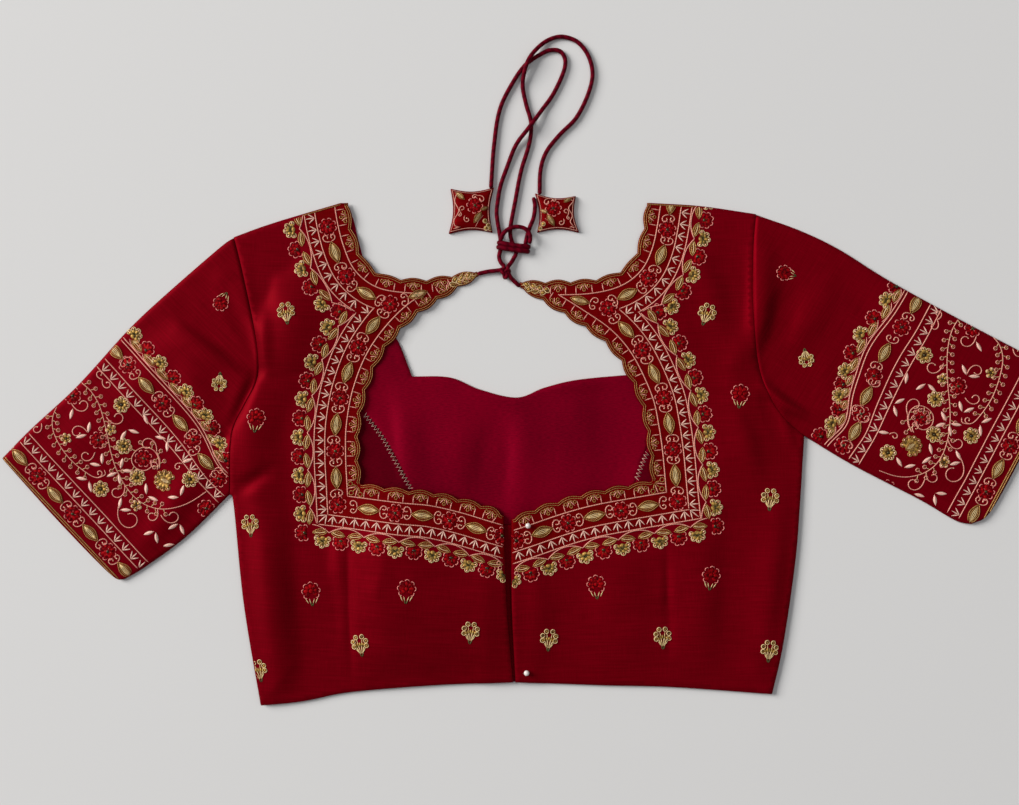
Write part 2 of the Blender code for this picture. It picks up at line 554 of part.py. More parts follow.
def build_front(collection):
    left_high, left_low = split_at(armhole_line(ARMHOLE_LEFT), PRINCESS_LEFT[0])
    right_high, right_low = split_at(armhole_line(ARMHOLE_RIGHT), PRINCESS_RIGHT[0])
    seam_left = smooth((tuple(left_low[0]), *PRINCESS_LEFT[1:]), CURVE_STEP)
    seam_right = smooth((tuple(right_low[0]), *PRINCESS_RIGHT[1:]), CURVE_STEP)
    hem_left = smooth(HEM_LEFT, CURVE_STEP)
    hem_right = smooth(HEM_RIGHT, CURVE_STEP)
    half = SEAM_GAP / 2
    centre_left = moved_left(seam_left, half)
    centre_right = moved_left(seam_right, -half)
    side_left = moved_left(seam_left, -half)
    side_right = moved_left(seam_right, half)
    hem_centre = [p for p in (*hem_left, *hem_right)
                  if seam_left[-1][0] + 2 < p[0] < seam_right[-1][0] - 2]
    hem_side_left = [p for p in hem_left if p[0] < seam_left[-1][0] - 2]
    hem_side_right = [p for p in hem_right if p[0] > seam_right[-1][0] + 2]
    shoulder_right = [p for p in smooth(SHOULDER_RIGHT, CURVE_STEP)[::-1]
                      if p[0] > FRONT_STRAP_RIGHT[-1][0] + 2]
    centre = joined(
        smooth(SHOULDER_LEFT, CURVE_STEP), left_high[:-1], centre_left, hem_centre,
        centre_right[::-1], right_high[:-1][::-1], shoulder_right,
        smooth(FRONT_STRAP_RIGHT, CURVE_STEP)[::-1], smooth(FRONT_NECK, CURVE_STEP)[::-1],
        smooth(FRONT_STRAP_LEFT, CURVE_STEP)[::-1])
    flat_panel("front_centre", centre, collection, "wine_lining", 0.0, WALL)
    left = joined(left_low[1:], smooth(SIDE_LEFT, CURVE_STEP), hem_side_left, side_left[::-1])
    flat_panel("front_side_left", left, collection, "wine_lining", 0.0, WALL)
    right = joined(right_low[1:], smooth(SIDE_RIGHT, CURVE_STEP), hem_side_right[::-1],
                   side_right[::-1])
    flat_panel("front_side_right", right, collection, "wine_lining", 0.0, WALL)


def build_back(collection):
    left = joined(
        smooth(SHOULDER_LEFT, CURVE_STEP), armhole_line(ARMHOLE_LEFT),
        smooth(SIDE_LEFT, CURVE_STEP), smooth(HEM_LEFT, CURVE_STEP),
        smooth(CENTRE_LEFT, CURVE_STEP)[::-1], scalloped(KEYHOLE_LEFT_LOW, 1)[::-1],
        scalloped(KEYHOLE_LEFT, 1)[::-1], scalloped(NECK_LEFT, 1)[::-1])
    curved_panel("back_left", left, collection, "crimson_silk", under_height, WALL)
    right = joined(
        smooth(SHOULDER_RIGHT, CURVE_STEP), armhole_line(ARMHOLE_RIGHT),
        smooth(SIDE_RIGHT, CURVE_STEP), smooth(HEM_RIGHT, CURVE_STEP)[::-1],
        smooth(CENTRE_RIGHT, CURVE_STEP)[::-1], scalloped(KEYHOLE_RIGHT_LOW, -1)[::-1],
        scalloped(KEYHOLE_RIGHT, -1)[::-1], scalloped(NECK_RIGHT, 1))
    curved_panel("back_right", right, collection, "crimson_silk", under_height, WALL)
    flat_panel("back_placket", PLACKET, collection, "crimson_silk", LAYER_REST, PLACKET_WALL)


def build_sleeve(name, armhole_points, cuff, outer, under, away, collection):
    """away is 1 where the sleeve lies to the left of its armhole's own heading, or -1."""
    armhole = moved_left(armhole_line(armhole_points), away * SEAM_GAP)
    outer_line = smooth((tuple(armhole[0]), *outer[1:]), CURVE_STEP)
    under_line = smooth((tuple(armhole[-1]), *under[1:]), CURVE_STEP)
    sleeve(name, armhole, smooth(cuff, CURVE_STEP), outer_line, under_line, collection)


def build_ties(collection):
    cord("cord_left_lower", (*LOWER_ROUTE_LEFT, knot_side(LOWER_ROUTE_LEFT[-1])), collection)
    cord("cord_right_lower", (*LOWER_ROUTE_RIGHT, knot_side(LOWER_ROUTE_RIGHT[-1])), collection)
    cord("cord_left", (knot_side(UPPER_ROUTE_LEFT[0]), *UPPER_ROUTE_LEFT), collection)
    cord("cord_right", (knot_side(UPPER_ROUTE_RIGHT[0]), *UPPER_ROUTE_RIGHT), collection)
    cord("cord_tail", TAIL_ROUTE, collection)
    cord("cord_ring", RING_ROUTE, collection)
    ball("cord_knot", KNOT_CENTRE, KNOT_HALF, collection, "wine_cord")
    keeper(collection)
    tassel("tassel_left", TASSEL_LEFT, collection)
    tassel("tassel_right", TASSEL_RIGHT, collection)


def build_pins(collection):
    radius = PIN_HEAD / 2
    for name, x, y in PINS:
        seat = float(under_height(x, y)) + WALL + SEAM_GAP
        ball(name, (x, y, seat + radius), (radius, radius, radius), collection, "pearl")


def main():
    for thing in list(bpy.data.objects):
        bpy.data.objects.remove(thing, do_unlink=True)
    collection = bpy.data.collections.new("choli_blouse")
    bpy.context.scene.collection.children.link(collection)
    build_front(collection)
    build_back(collection)
    build_sleeve("sleeve_left", ARMHOLE_LEFT, CUFF_LEFT, OUTER_LEFT, UNDER_LEFT, -1, collection)
    build_sleeve("sleeve_right", ARMHOLE_RIGHT, CUFF_RIGHT, OUTER_RIGHT, UNDER_RIGHT, 1,
                 collection)
    build_ties(collection)
    build_pins(collection)


main()
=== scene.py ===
"""Looks of the choli blouse: silk, lining, hand embroidery, tie cords and pins, laid flat.

Tables and lines are in millimetres, in the plan of the blouse seen from above: +X towards the
right sleeve, +Y towards the neck, +Z out of the back.  Meshes are made in metres.
"""
import json
import math
from types import SimpleNamespace

import bpy
import numpy as np
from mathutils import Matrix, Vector
from mathutils.geometry import delaunay_2d_cdt

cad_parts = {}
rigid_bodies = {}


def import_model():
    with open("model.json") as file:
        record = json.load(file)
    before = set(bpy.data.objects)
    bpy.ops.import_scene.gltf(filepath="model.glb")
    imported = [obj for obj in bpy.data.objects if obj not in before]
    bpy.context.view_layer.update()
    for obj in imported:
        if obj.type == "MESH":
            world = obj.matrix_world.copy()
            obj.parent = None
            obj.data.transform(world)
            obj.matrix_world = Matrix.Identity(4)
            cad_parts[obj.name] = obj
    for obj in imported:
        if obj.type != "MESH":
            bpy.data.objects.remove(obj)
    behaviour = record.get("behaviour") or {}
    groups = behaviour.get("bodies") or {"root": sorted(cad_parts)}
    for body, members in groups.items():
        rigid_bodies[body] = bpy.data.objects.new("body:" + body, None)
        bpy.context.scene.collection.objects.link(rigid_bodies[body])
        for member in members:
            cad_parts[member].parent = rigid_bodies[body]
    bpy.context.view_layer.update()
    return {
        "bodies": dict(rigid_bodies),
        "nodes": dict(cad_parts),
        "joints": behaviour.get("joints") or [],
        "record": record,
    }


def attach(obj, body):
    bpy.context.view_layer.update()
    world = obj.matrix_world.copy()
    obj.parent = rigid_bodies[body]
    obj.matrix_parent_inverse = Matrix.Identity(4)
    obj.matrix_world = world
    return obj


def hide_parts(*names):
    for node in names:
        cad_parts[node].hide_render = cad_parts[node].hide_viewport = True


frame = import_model()

MM = 0.001

# ---- Sizes, mm ----
WALL = 1.2                  # silk, embroidery ground and lining, sewn together
SEAM_GAP = 0.3
PLACKET_WALL = 1.0
LAYER_REST = WALL + SEAM_GAP                        # underside of the back, on the front
PLACKET_REST = LAYER_REST + PLACKET_WALL + SEAM_GAP     # and over the placket
PLACKET_MARGIN = (1.5, 4.0)     # how far past the placket, aside and above, the back keeps to it
PLACKET_FADE = (15.0, 13.0)     # and over what distance it then comes down
TIP_REST = 0.4              # underside of the borders' tips at the ties, with no front below
TIPS_SPAN = (-104.0, -25.0, 62.0)       # x of the tips' outer ends, and of their middle between
TIPS_LOW = 60.0             # y above which the tips come down
TIPS_FADE = (45.0, 12.0)    # over what distance they do, aside and above
PUFF = 1.7                  # how far plain silk stands off its seat, well away from the seams
PUFF_REACH = 34.0
PUFF_AT_OPENING = 0.25      # share of it at an open edge
OPENING_REACH = 0.6         # share of the reach there
FOLD_AT_END = 0.12          # where in half a wave a fold starts and, from the other end, stops
FOLD_AT_SEAM = 0.3          # share of its height that a fold keeps at a seam
SEAM_REACH = 15.0           # how far from a seam it holds the folds down
HIGHEST_LIFT = 10.0         # the back's silk never stands further off its seat than this
BORDER_GROUND = 33.5        # depth from the neck's edge down to which the ground is more orange, and darker as painted shade between the threads
NO_BORDER = 1000.0          # depth given to silk that is far from any border
CELL = 3.0                  # mesh spacing on a panel
EDGE_STEP = 2.5             # and along its plain edges
SCALLOP_PITCH = 18.0
SCALLOP_DEPTH = 2.4
SCALLOP_STEPS = 10
RIM_BULGE = 0.4             # how far a turned edge rounds out
RIM_DRAW = 0.12             # and how far its two faces draw in
CORD_DIAMETER = 3.2
CORD_LIE = CORD_DIAMETER / 2
CORD_OVER = CORD_LIE + CORD_DIAMETER + 0.5      # middle of a cord that crosses another
PIN_HEAD = 4.1

# ---- Edges, mm: points (x, y) that a smooth curve runs through ----
# The two halves lie differently, so each has its own lines.  The shoulder, armhole and side are
# named downwards, the neck, keyhole and hem from the ties or the centre outwards; low is the
# keyhole's low edge, strap the front's neck edge, and outer and under are the sleeve's folds.
LEFT = SimpleNamespace(
    hand=1,
    shoulder=((-144.0, 187.4), (-194.2, 172.5), (-223.5, 162.0)),
    neck=((-42.0, 136.3), (-58.0, 134.0), (-79.5, 130.5), (-99.0, 131.0), (-114.0, 134.5),
          (-125.5, 144.0), (-132.0, 158.5), (-135.8, 172.5), (-138.5, 187.6)),
    keyhole=((-40.8, 133.4), (-62.2, 120.8), (-91.5, 100.5), (-113.0, 74.5), (-124.5, 47.2),
             (-129.5, 21.0), (-130.0, -1.9), (-129.0, -22.5)),
    low=((-129.0, -22.5), (-97.9, -26.2), (-75.0, -28.5), (-51.8, -33.8), (-31.5, -39.8),
         (-22.1, -46.1)),
    centre=((-22.1, -46.1), (-20.0, -110.0), (-15.2, -170.2)),
    hem=((-15.2, -170.2), (-75.0, -172.5), (-137.2, -177.8), (-171.8, -184.5), (-203.2, -187.6)),
    side=((-226.5, -30.0), (-223.5, -38.0), (-216.0, -111.0), (-203.2, -187.6)),
    armhole=((-223.5, 162.0), (-217.5, 138.0), (-210.8, 108.0), (-205.5, 78.0), (-206.2, 55.5),
             (-214.5, 38.2), (-222.8, 21.8), (-225.8, 4.0), (-226.5, -30.0)),
    outer=((-223.5, 162.0), (-234.0, 155.0), (-275.2, 119.2), (-303.0, 93.0), (-341.2, 51.0),
           (-375.8, 18.8), (-397.2, -3.0)),
    cuff=((-397.2, -3.0), (-354.8, -50.2), (-315.8, -90.0), (-305.2, -93.5)),
    under=((-226.5, -30.0), (-259.1, -61.5), (-289.5, -84.0), (-305.2, -93.5)),
    strap=((-141.0, 187.4), (-135.0, 176.0), (-131.8, 162.5), (-128.5, 150.0), (-124.5, 134.2),
           (-113.2, 104.2), (-101.2, 84.0), (-90.8, 57.8)),
    princess=((-206.2, 81.8), (-174.8, 64.5), (-125.2, 30.0), (-92.2, -24.8), (-81.0, -79.5),
              (-77.2, -172.5)),
)
RIGHT = SimpleNamespace(
    hand=-1,
    shoulder=((85.5, 187.6), (124.5, 185.2), (166.5, 179.2)),
    neck=((-9.8, 128.4), (11.2, 129.0), (39.8, 129.8), (60.0, 134.2), (72.8, 143.2),
          (79.5, 156.4), (82.9, 171.0), (85.5, 187.6)),
    keyhole=((-9.0, 124.6), (9.8, 113.2), (32.6, 99.0), (52.5, 84.8), (66.8, 67.5), (79.5, 40.5),
             (84.0, 21.0), (87.0, 0.4), (88.9, -20.2)),
    low=((88.9, -20.2), (55.5, -26.0), (37.5, -29.8), (18.8, -35.2), (-1.5, -42.0),
         (-15.8, -48.8)),
    centre=((-15.8, -48.8), (-15.6, -110.0), (-12.8, -170.2)),
    hem=((-12.8, -170.2), (50.2, -172.5), (105.4, -174.0), (178.5, -179.2)),
    side=((202.5, 13.5), (199.5, -34.5), (195.8, -80.2), (186.8, -141.8), (178.5, -179.2)),
    armhole=((166.5, 179.2), (164.2, 153.0), (163.5, 115.5), (166.5, 78.0), (172.5, 51.8),
             (185.2, 29.2), (202.5, 13.5)),
    outer=((166.5, 179.2), (200.2, 167.2), (229.5, 153.0), (265.5, 130.5), (318.8, 101.2),
           (364.5, 77.2), (397.2, 60.0)),
    cuff=((397.2, 60.0), (371.2, 9.8), (342.8, -42.0), (327.8, -52.5)),
    under=((202.5, 13.5), (240.0, -8.6), (288.8, -33.8), (315.8, -49.5), (327.8, -52.5)),
    strap=((91.0, 187.4), (89.0, 160.5), (84.0, 134.2), (80.5, 108.0), (82.5, 81.8),
           (84.0, 60.0)),
    princess=((167.2, 76.5), (136.5, 61.5), (95.2, 21.8), (76.9, -20.2), (63.8, -79.5),
              (57.8, -172.5)),
)
HALVES = {"left": LEFT, "right": RIGHT}
FRONT_NECK = ((-90.8, 57.8), (-62.2, 57.0), (-39.8, 48.0), (-12.0, 42.0), (9.0, 49.5),
              (35.2, 55.5), (84.0, 60.0))
PLACKET_TOP = -53.0
PLACKET_MIDDLE = -17.5
PLACKET_HALF = 13.5
PLACKET_END = -167.5

# ---- Folds, mm: a ridge (+) or trough (-) along a line, of a half width, fading at its ends ----
# x0, y0, x1, y1, half_width, height
FOLDS = (
    # left armhole, sleeve head and underarm
    (-202, 160, -202, 104, 7, -3.6),
    (-201, 108, -200, 62, 5, 2.4),
    (-262, 108, -206, 61, 6, -5.0),
    (-262, 90, -218, 56, 9, 3.0),
    (-229, 124, -206, 64, 6, -3.0),
    (-238, 142, -214, 100, 9, 2.0),
    (-206, 62, -224, 22, 4, -3.2),
    (-231, 17, -229.5, 8, 4, -2.6),
    (-223, -28, -198, -13, 5, -3.6),
    (-262, 76, -240, 30, 12, 2.6),
    # left chest
    (-191, 168, -189, 130, 14, -3.4),
    (-179, 124, -182, 58, 19, 5.0),
    (-209, 50, -213, -34, 17, 4.4),
    (-169, 54, -168, -30, 21, -5.0),
    # left body: bands that hang from the armhole to the hem
    (-205, -36, -194, -196, 18, 7.6),
    (-168, -24, -158, -180, 18, -4.4),
    (-148, -66, -146, -96, 8, 2.2),
    (-138.8, -73, -135.8, -171, 3.0, -2.0),
    (-104, -34, -112, -136, 24, 7.6),
    (-112, -112, -108, -180, 16, 2.0),
    (-70, -40, -84, -180, 28, 6.0),
    (-36, -56, -38, -174, 22, 3.6),
    # right shoulder, armhole and sleeve head
    (118, 168, 140, 86, 10, 1.8),
    (152, 160, 157, 76, 11, -3.0),
    (171, 160, 168, 64, 11, 4.2),
    (192, 120, 172, 64, 10, -4.4),
    (222, 128, 196, 84, 12, 2.2),
    (176, 74, 208, 42, 12, -4.8),
    (171, 50, 210, 22, 5, 4.2),
    (173, 43, 184, 15, 4, -3.2),
    (191, 30, 211, 21, 3, -1.8),
    (184, 34, 197, -4, 4, 2.4),
    (184, 10, 199, -10, 4, -2.6),
    (156, 88, 150, 60, 9, 2.4),
    (150, 36, 168, -18, 9, 2.4),
    (128, 96, 132, 20, 14, -1.8),
    # right body
    (99.8, -69.0, 102, -150, 3.0, -1.8),
    (124, -50, 122, -172, 16, 1.8),
    (150, -30, 146, -166, 12, -2.0),
    (188, -24, 174, -174, 13, 4.6),
    (66, -60, 76, -168, 18, 1.9),
    (30, -62, 34, -164, 17, -1.6),
    (4, -74, 8, -164, 10, 1.6),
    (60, -118, 110, -122, 8, -0.8),
    # sleeves
    (-270, 92, -306, 34, 18, 2.2),
    (-268, 30, -308, -30, 16, -1.2),
    (-330, 36, -352, 2, 15, 1.2),
    (-316, -34, -332, -62, 10, -1.0),
    (-246, -6, -294, -82, 12, 3.6),
    (246, 108, 330, 72, 16, 2.4),
    (268, 50, 346, 16, 16, -2.6),
    (262, 14, 324, -20, 12, 2.0),
    (236, 134, 256, 96, 9, -1.6),
    (236, 62, 222, 22, 10, -1.8),
    # the keyhole's edge stands off the lining
    (-122, 40, -124, -20, 9, 1.6),
    (-112, -24, -60, -32, 8, 1.4),
    (84, 14, 84, -16, 9, 1.4),
    (70, -26, 30, -32, 8, 1.2),
)
# soft waves all over the silk: wavelength, heading in degrees, height
RIPPLES = ((61, 12, 0.20), (43, 74, 0.16), (31, 128, 0.10), (23, 40, 0.07), (87, 160, 0.24))

# the lining of the front, where it shows through the keyhole
LINING_FOLDS = (
    (-118, 40, -110, -30, 12, -3.6),
    (-98, 40, -92, -26, 12, 2.8),
    (-60, 46, -52, -34, 22, 2.6),
    (-26, 20, -34, -40, 13, -3.6),
    (-8, 34, -8, -44, 14, 3.0),
    (26, 46, 30, -30, 20, 2.4),
    (60, 52, 64, -16, 14, -2.8),
    (-42, 50, -8, 40, 7, 1.2),
    (8, 52, 60, 55, 7, 1.2),
)

# ---- Cord routes, mm: points that a smooth curve runs through ----
# (x, y) where the cord lies on the table, and (x, y, z) where it crosses over something
LEFT.tie = ((-41.5, 134.9), (-33.4, 136.6, 2.0), (-24.6, 137.6, 3.2), (-21.4, 139.6, 3.6),
            (-24.2, 143.6, 2.6), (-25.4, 148.0), (-24.0, 156.0), (-25.0, 165.0), (-27.2, 179.2),
            (-26.2, 190.5), (-24.0, 201.8), (-19.5, 214.5), (-12.8, 231.0, 2.6),
            (-2.4, 244.6, CORD_OVER), (6.4, 257.0, 2.6), (15.0, 269.2), (22.3, 284.5),
            (24.2, 294.4), (20.6, 301.3), (13.2, 302.4), (5.6, 299.2), (-5.2, 291.8),
            (-15.0, 278.2), (-24.8, 258.0), (-29.2, 231.0), (-31.5, 198.7))
RIGHT.tie = ((-9.7, 125.3), (-13.2, 128.5, 2.2), (-17.4, 133.2, 3.2), (-19.0, 139.0, 3.6),
             (-16.6, 142.8, 2.4), (-14.8, 146.0), (-12.6, 151.5), (-16.2, 160.5), (-16.9, 169.5),
             (-13.5, 188.2), (-9.0, 211.5), (-2.6, 233.2), (-1.5, 248.2), (-5.2, 262.0),
             (-7.7, 275.0, 2.0), (-6.4, 286.0, 4.3), (-2.6, 295.8, CORD_OVER), (4.9, 305.0, 3.0),
             (13.0, 310.6), (22.5, 312.4), (33.4, 308.4), (41.4, 298.1), (44.6, 284.2),
             (40.9, 268.5), (32.2, 251.5), (19.5, 238.5), (9.8, 225.8), (5.6, 212.2),
             (4.9, 194.3))
TIE_TAIL = ((0.3, 192.2), (1.5, 186.0), (0.4, 177.0), (-3.4, 167.0), (-6.0, 156.0))
TIE_RING = ((-24.0, 159.9, CORD_OVER), (-22.4, 164.4, CORD_OVER), (-17.6, 168.4, CORD_OVER),
            (-11.2, 169.7, CORD_OVER), (-5.2, 167.8, CORD_OVER), (-2.2, 163.0, CORD_OVER),
            (-2.6, 157.0, CORD_OVER))
KNOT_CENTRE = (-20.6, 135.4, 3.3)
CORD_END = 0.55             # share of its thickness that a cord has at its very ends
CLEAR_OF_TABLE = 0.02
KEEPER_CENTRE = (-14.6, 154.9)
KEEPER_LONG = 27.8
KEEPER_HIGH = 6.0
KEEPER_TILT = math.radians(-8.0)
TASSEL_LEFT = ((-61.4, 198.3), (-29.5, 199.3), (-30.5, 166.0), (-62.8, 165.0))
TASSEL_RIGHT = ((1.8, 194.9), (31.8, 192.9), (34.3, 166.0), (3.4, 166.0))
TASSEL_SIDE_DIP = 2.6
TASSEL_HEIGHT = 4.7
TASSEL_RIM = 2.0            # height of the upper side at the seam
TASSEL_NOSE = 9.5           # how far in from the seam the square is still rounded


# ---- Curves ----
def smooth(points, step):
    """Evenly spaced points, about a step apart, on a Catmull-Rom curve through the given ones."""
    knots = [np.array(p, float) for p in points]
    knots = [2 * knots[0] - knots[1], *knots, 2 * knots[-1] - knots[-2]]
    dense = [knots[1]]
    for before, start, end, after in zip(knots, knots[1:], knots[2:], knots[3:]):
        for t in np.linspace(0, 1, 25)[1:]:
            dense.append(0.5 * (2 * start + (end - before) * t
                                + (2 * before - 5 * start + 4 * end - after) * t ** 2
                                + (3 * start - before - 3 * end + after) * t ** 3))
    return spread(dense, max(1, round(length_of(dense) / step)))


def travelled(points):
    steps = np.linalg.norm(np.diff(points, axis=0), axis=1)
    return np.concatenate([[0], np.cumsum(steps)])


def length_of(points):
    return float(travelled(np.array(points))[-1])


def spread(points, count):
    """count + 1 points at even distances along a line of points."""
    return along(points, np.linspace(0, 1, count + 1))


def read(s, place, values):
    """Rows of values that are known at places, read at s."""
    return np.stack([np.interp(s, place, column) for column in np.asarray(values).T], axis=-1)


def along(points, fractions):
    """Points at fractions (0 to 1) of the length of a line of points."""
    place = travelled(points)
    return read(np.asarray(fractions) * place[-1], place, points)


def unit(vectors):
    return vectors / (np.linalg.norm(vectors, axis=-1, keepdims=True) + 1e-12)


def quarter_left(vectors):
    return np.stack([-vectors[..., 1], vectors[..., 0]], axis=-1)


def left_of(points):
    """Unit vectors to the left of a line at each of its points."""
    return quarter_left(unit(np.gradient(np.array(points)[:, :2], axis=0)))


def extended(line, by):
    """The line with a straight stretch added at both ends, its points as far apart as its own."""
    step = np.linalg.norm(line[1] - line[0])
    reach = np.arange(1, round(by / step) + 1)[:, None]
    before = line[0] + (line[0] - line[1]) * reach[::-1]
    after = line[-1] + (line[-1] - line[-2]) * reach
    return np.vstack([before, line, after])


def scalloped(points, side):
    """A smooth edge with scallops that swell to its left (side 1) or its right (side -1)."""
    base, swell = scallop_swell(points)
    return base + (side * swell)[:, None] * left_of(base)


def scallop_swell(points):
    """The plain line of a scalloped edge, and how far its scallops stand out from it."""
    fine = smooth(points, 2.0)
    count = max(1, round(length_of(fine) / SCALLOP_PITCH))
    base = spread(fine, count * SCALLOP_STEPS)
    phase = np.arange(len(base)) / SCALLOP_STEPS
    swell = SCALLOP_DEPTH * (np.abs(np.sin(math.pi * phase)) - 0.5)
    swell[0] = swell[-1] = 0
    return base, swell


def closed(outline):
    return np.vstack([outline, outline[:1]])


def joined(*lines):
    """One closed outline from lines that follow each other, without doubled points."""
    outline = []
    for line in lines:
        for point in line:
            if not outline or math.dist(outline[-1], point) > 0.2:
                outline.append((float(point[0]), float(point[1])))
    while math.dist(outline[0], outline[-1]) <= 0.2:
        outline.pop()
    return np.array(outline)


def runs_of(good):
    """The unbroken runs of true values, as arrays of their places."""
    runs = np.split(np.arange(len(good)), np.flatnonzero(np.diff(good.astype(int))) + 1)
    return [run for run in runs if good[run[0]]]


# ---- Distances and heights ----
def ease(t):
    t = np.clip(t, 0, 1)
    return t * t * (3 - 2 * t)


def from_segment(x, y, x0, y0, x1, y1):
    """Distance from a segment, the place along it from 0 to 1, and the side (left above 0)."""
    dx, dy = x1 - x0, y1 - y0
    t = np.clip(((x - x0) * dx + (y - y0) * dy) / (dx * dx + dy * dy), 0, 1)
    return np.hypot(x - x0 - t * dx, y - y0 - t * dy), t, dx * (y - y0) - dy * (x - x0)


def distance_from(lines, x, y):
    nearest = np.full(np.shape(x), 1e9)
    for line in lines:
        for start, end in zip(line[:-1], line[1:]):
            nearest = np.minimum(nearest, from_segment(x, y, *start, *end)[0])
    return nearest


def side_distance(line, x, y, side):
    """Distance from a line, above 0 on one side of it (1 for its left, -1 for its right)."""
    nearest = np.full(np.shape(x), 1e9)
    sign = np.ones(np.shape(x))
    for start, end in zip(line[:-1], line[1:]):
        distance, _, turn = from_segment(x, y, *start, *end)
        closer = distance < nearest
        nearest = np.where(closer, distance, nearest)
        sign = np.where(closer, np.sign(turn), sign)
    return nearest * sign * side


def within(outline, x, y):
    """Whether points are inside a closed outline."""
    inside = np.zeros(np.shape(x), bool)
    for (x0, y0), (x1, y1) in zip(outline, np.roll(outline, -1, axis=0)):
        if y0 != y1:
            crosses = (y0 > y) != (y1 > y)
            inside ^= crosses & (x < x0 + (y - y0) * (x1 - x0) / (y1 - y0))
    return inside


class Relief:
    """Heights over the plan, worked out once on a grid and read between its points."""

    def __init__(self, function, low, high, step):
        self.low = np.array(low, float)
        self.step = step
        self.size = np.ceil((np.array(high) - self.low) / step).astype(int) + 1
        x = self.low[0] + step * np.arange(self.size[0])
        y = self.low[1] + step * np.arange(self.size[1])
        self.heights = function(*np.meshgrid(x, y, indexing="ij"))

    def __call__(self, x, y):
        u = np.clip((np.asarray(x) - self.low[0]) / self.step, 0, self.size[0] - 1.001)
        v = np.clip((np.asarray(y) - self.low[1]) / self.step, 0, self.size[1] - 1.001)
        i, j = u.astype(int), v.astype(int)
        u, v = u - i, v - j
        h = self.heights
        return ((h[i, j] * (1 - u) + h[i + 1, j] * u) * (1 - v)
                + (h[i, j + 1] * (1 - u) + h[i + 1, j + 1] * u) * v)


SEWN_EDGES = [smooth(line, 30.0) for half in HALVES.values() for line in (
    half.shoulder, half.outer, half.cuff, half.under, half.side, half.hem)]
CUT_EDGES = [smooth(line, 20.0) for half in HALVES.values() for line in (
    half.neck, half.keyhole, half.low, half.centre)]


def rest_height(x, y):
    """Underside of the upper layer where it simply rests on what is under it."""
    beside = np.abs(x - PLACKET_MIDDLE) - PLACKET_HALF - PLACKET_MARGIN[0]
    above = y - PLACKET_TOP - PLACKET_MARGIN[1]
    placket = ease(1 - beside / PLACKET_FADE[0]) * ease(1 - above / PLACKET_FADE[1])
    left_end, middle, right_end = TIPS_SPAN
    inside = np.where(x < middle, x - left_end, right_end - x)
    tips = ease((y - TIPS_LOW) / TIPS_FADE[1]) * ease(inside / TIPS_FADE[0])
    return LAYER_REST + (PLACKET_REST - LAYER_REST) * placket - (LAYER_REST - TIP_REST) * tips


def fold_lift(folds, x, y):
    lift = np.zeros(np.shape(x))
    for x0, y0, x1, y1, half_width, height in folds:
        distance, t, _ = from_segment(x, y, x0, y0, x1, y1)
        fade = np.sin(math.pi * (FOLD_AT_END + (1 - 2 * FOLD_AT_END) * t))
        lift += height * fade * np.exp(-(distance / half_width) ** 2)
    return lift


def ripple_lift(x, y):
    lift = np.zeros(np.shape(x))
    for length, heading, height in RIPPLES:
        c, s = math.cos(math.radians(heading)), math.sin(math.radians(heading))
        way = x * c + y * s
        across = y * c - x * s
        lift += height * np.sin(2 * math.pi * (way / length + 0.35 * np.sin(across / length)))
    return lift


def soft_floor(lift):
    """The lift where it is well above 0, easing to 0 where it would go below."""
    return np.logaddexp(0, lift * 2.2) / 2.2


def silk_under(x, y):
    """Underside of the back panels and of the upper side of the sleeves."""
    sewn = 1 - np.exp(-(distance_from(SEWN_EDGES, x, y) / PUFF_REACH) ** 2)
    cut = 1 - np.exp(-(distance_from(CUT_EDGES, x, y) / (PUFF_REACH * OPENING_REACH)) ** 2)
    puff = PUFF * sewn * (PUFF_AT_OPENING + (1 - PUFF_AT_OPENING) * cut)
    held = np.exp(-(distance_from(SEWN_EDGES, x, y) / SEAM_REACH) ** 2)
    folds = fold_lift(FOLDS, x, y) * (1 - (1 - FOLD_AT_SEAM) * held)
    lift = soft_floor(puff + folds + ripple_lift(x, y) * sewn)
    return rest_height(x, y) + np.minimum(lift, HIGHEST_LIFT)


def lining_top(x, y):
    """Upper side of the front, which rises only where the keyhole leaves it room."""
    shown = ease((10.0 + side_distance(KEYHOLE_RIM, x, y, 1)) / 18.0)
    return WALL + shown * soft_floor(0.4 + fold_lift(LINING_FOLDS, x, y))


KEYHOLE_RIM = np.vstack([
    smooth(LEFT.keyhole, 12.0), smooth(LEFT.low, 12.0)[1:],
    smooth(RIGHT.low, 12.0)[::-1], smooth(RIGHT.keyhole, 12.0)[::-1][1:]])
SILK = Relief(silk_under, (-402, -192), (402, 192), 1.5)


# ---- Materials ----
def linear(red, green, blue):
    """A colour given as 0 to 255, as Blender's linear numbers."""
    return tuple((c / 255 / 12.92 if c < 10.3 else ((c / 255 + 0.055) / 1.055) ** 2.4)
                 for c in (red, green, blue)) + (1.0,)


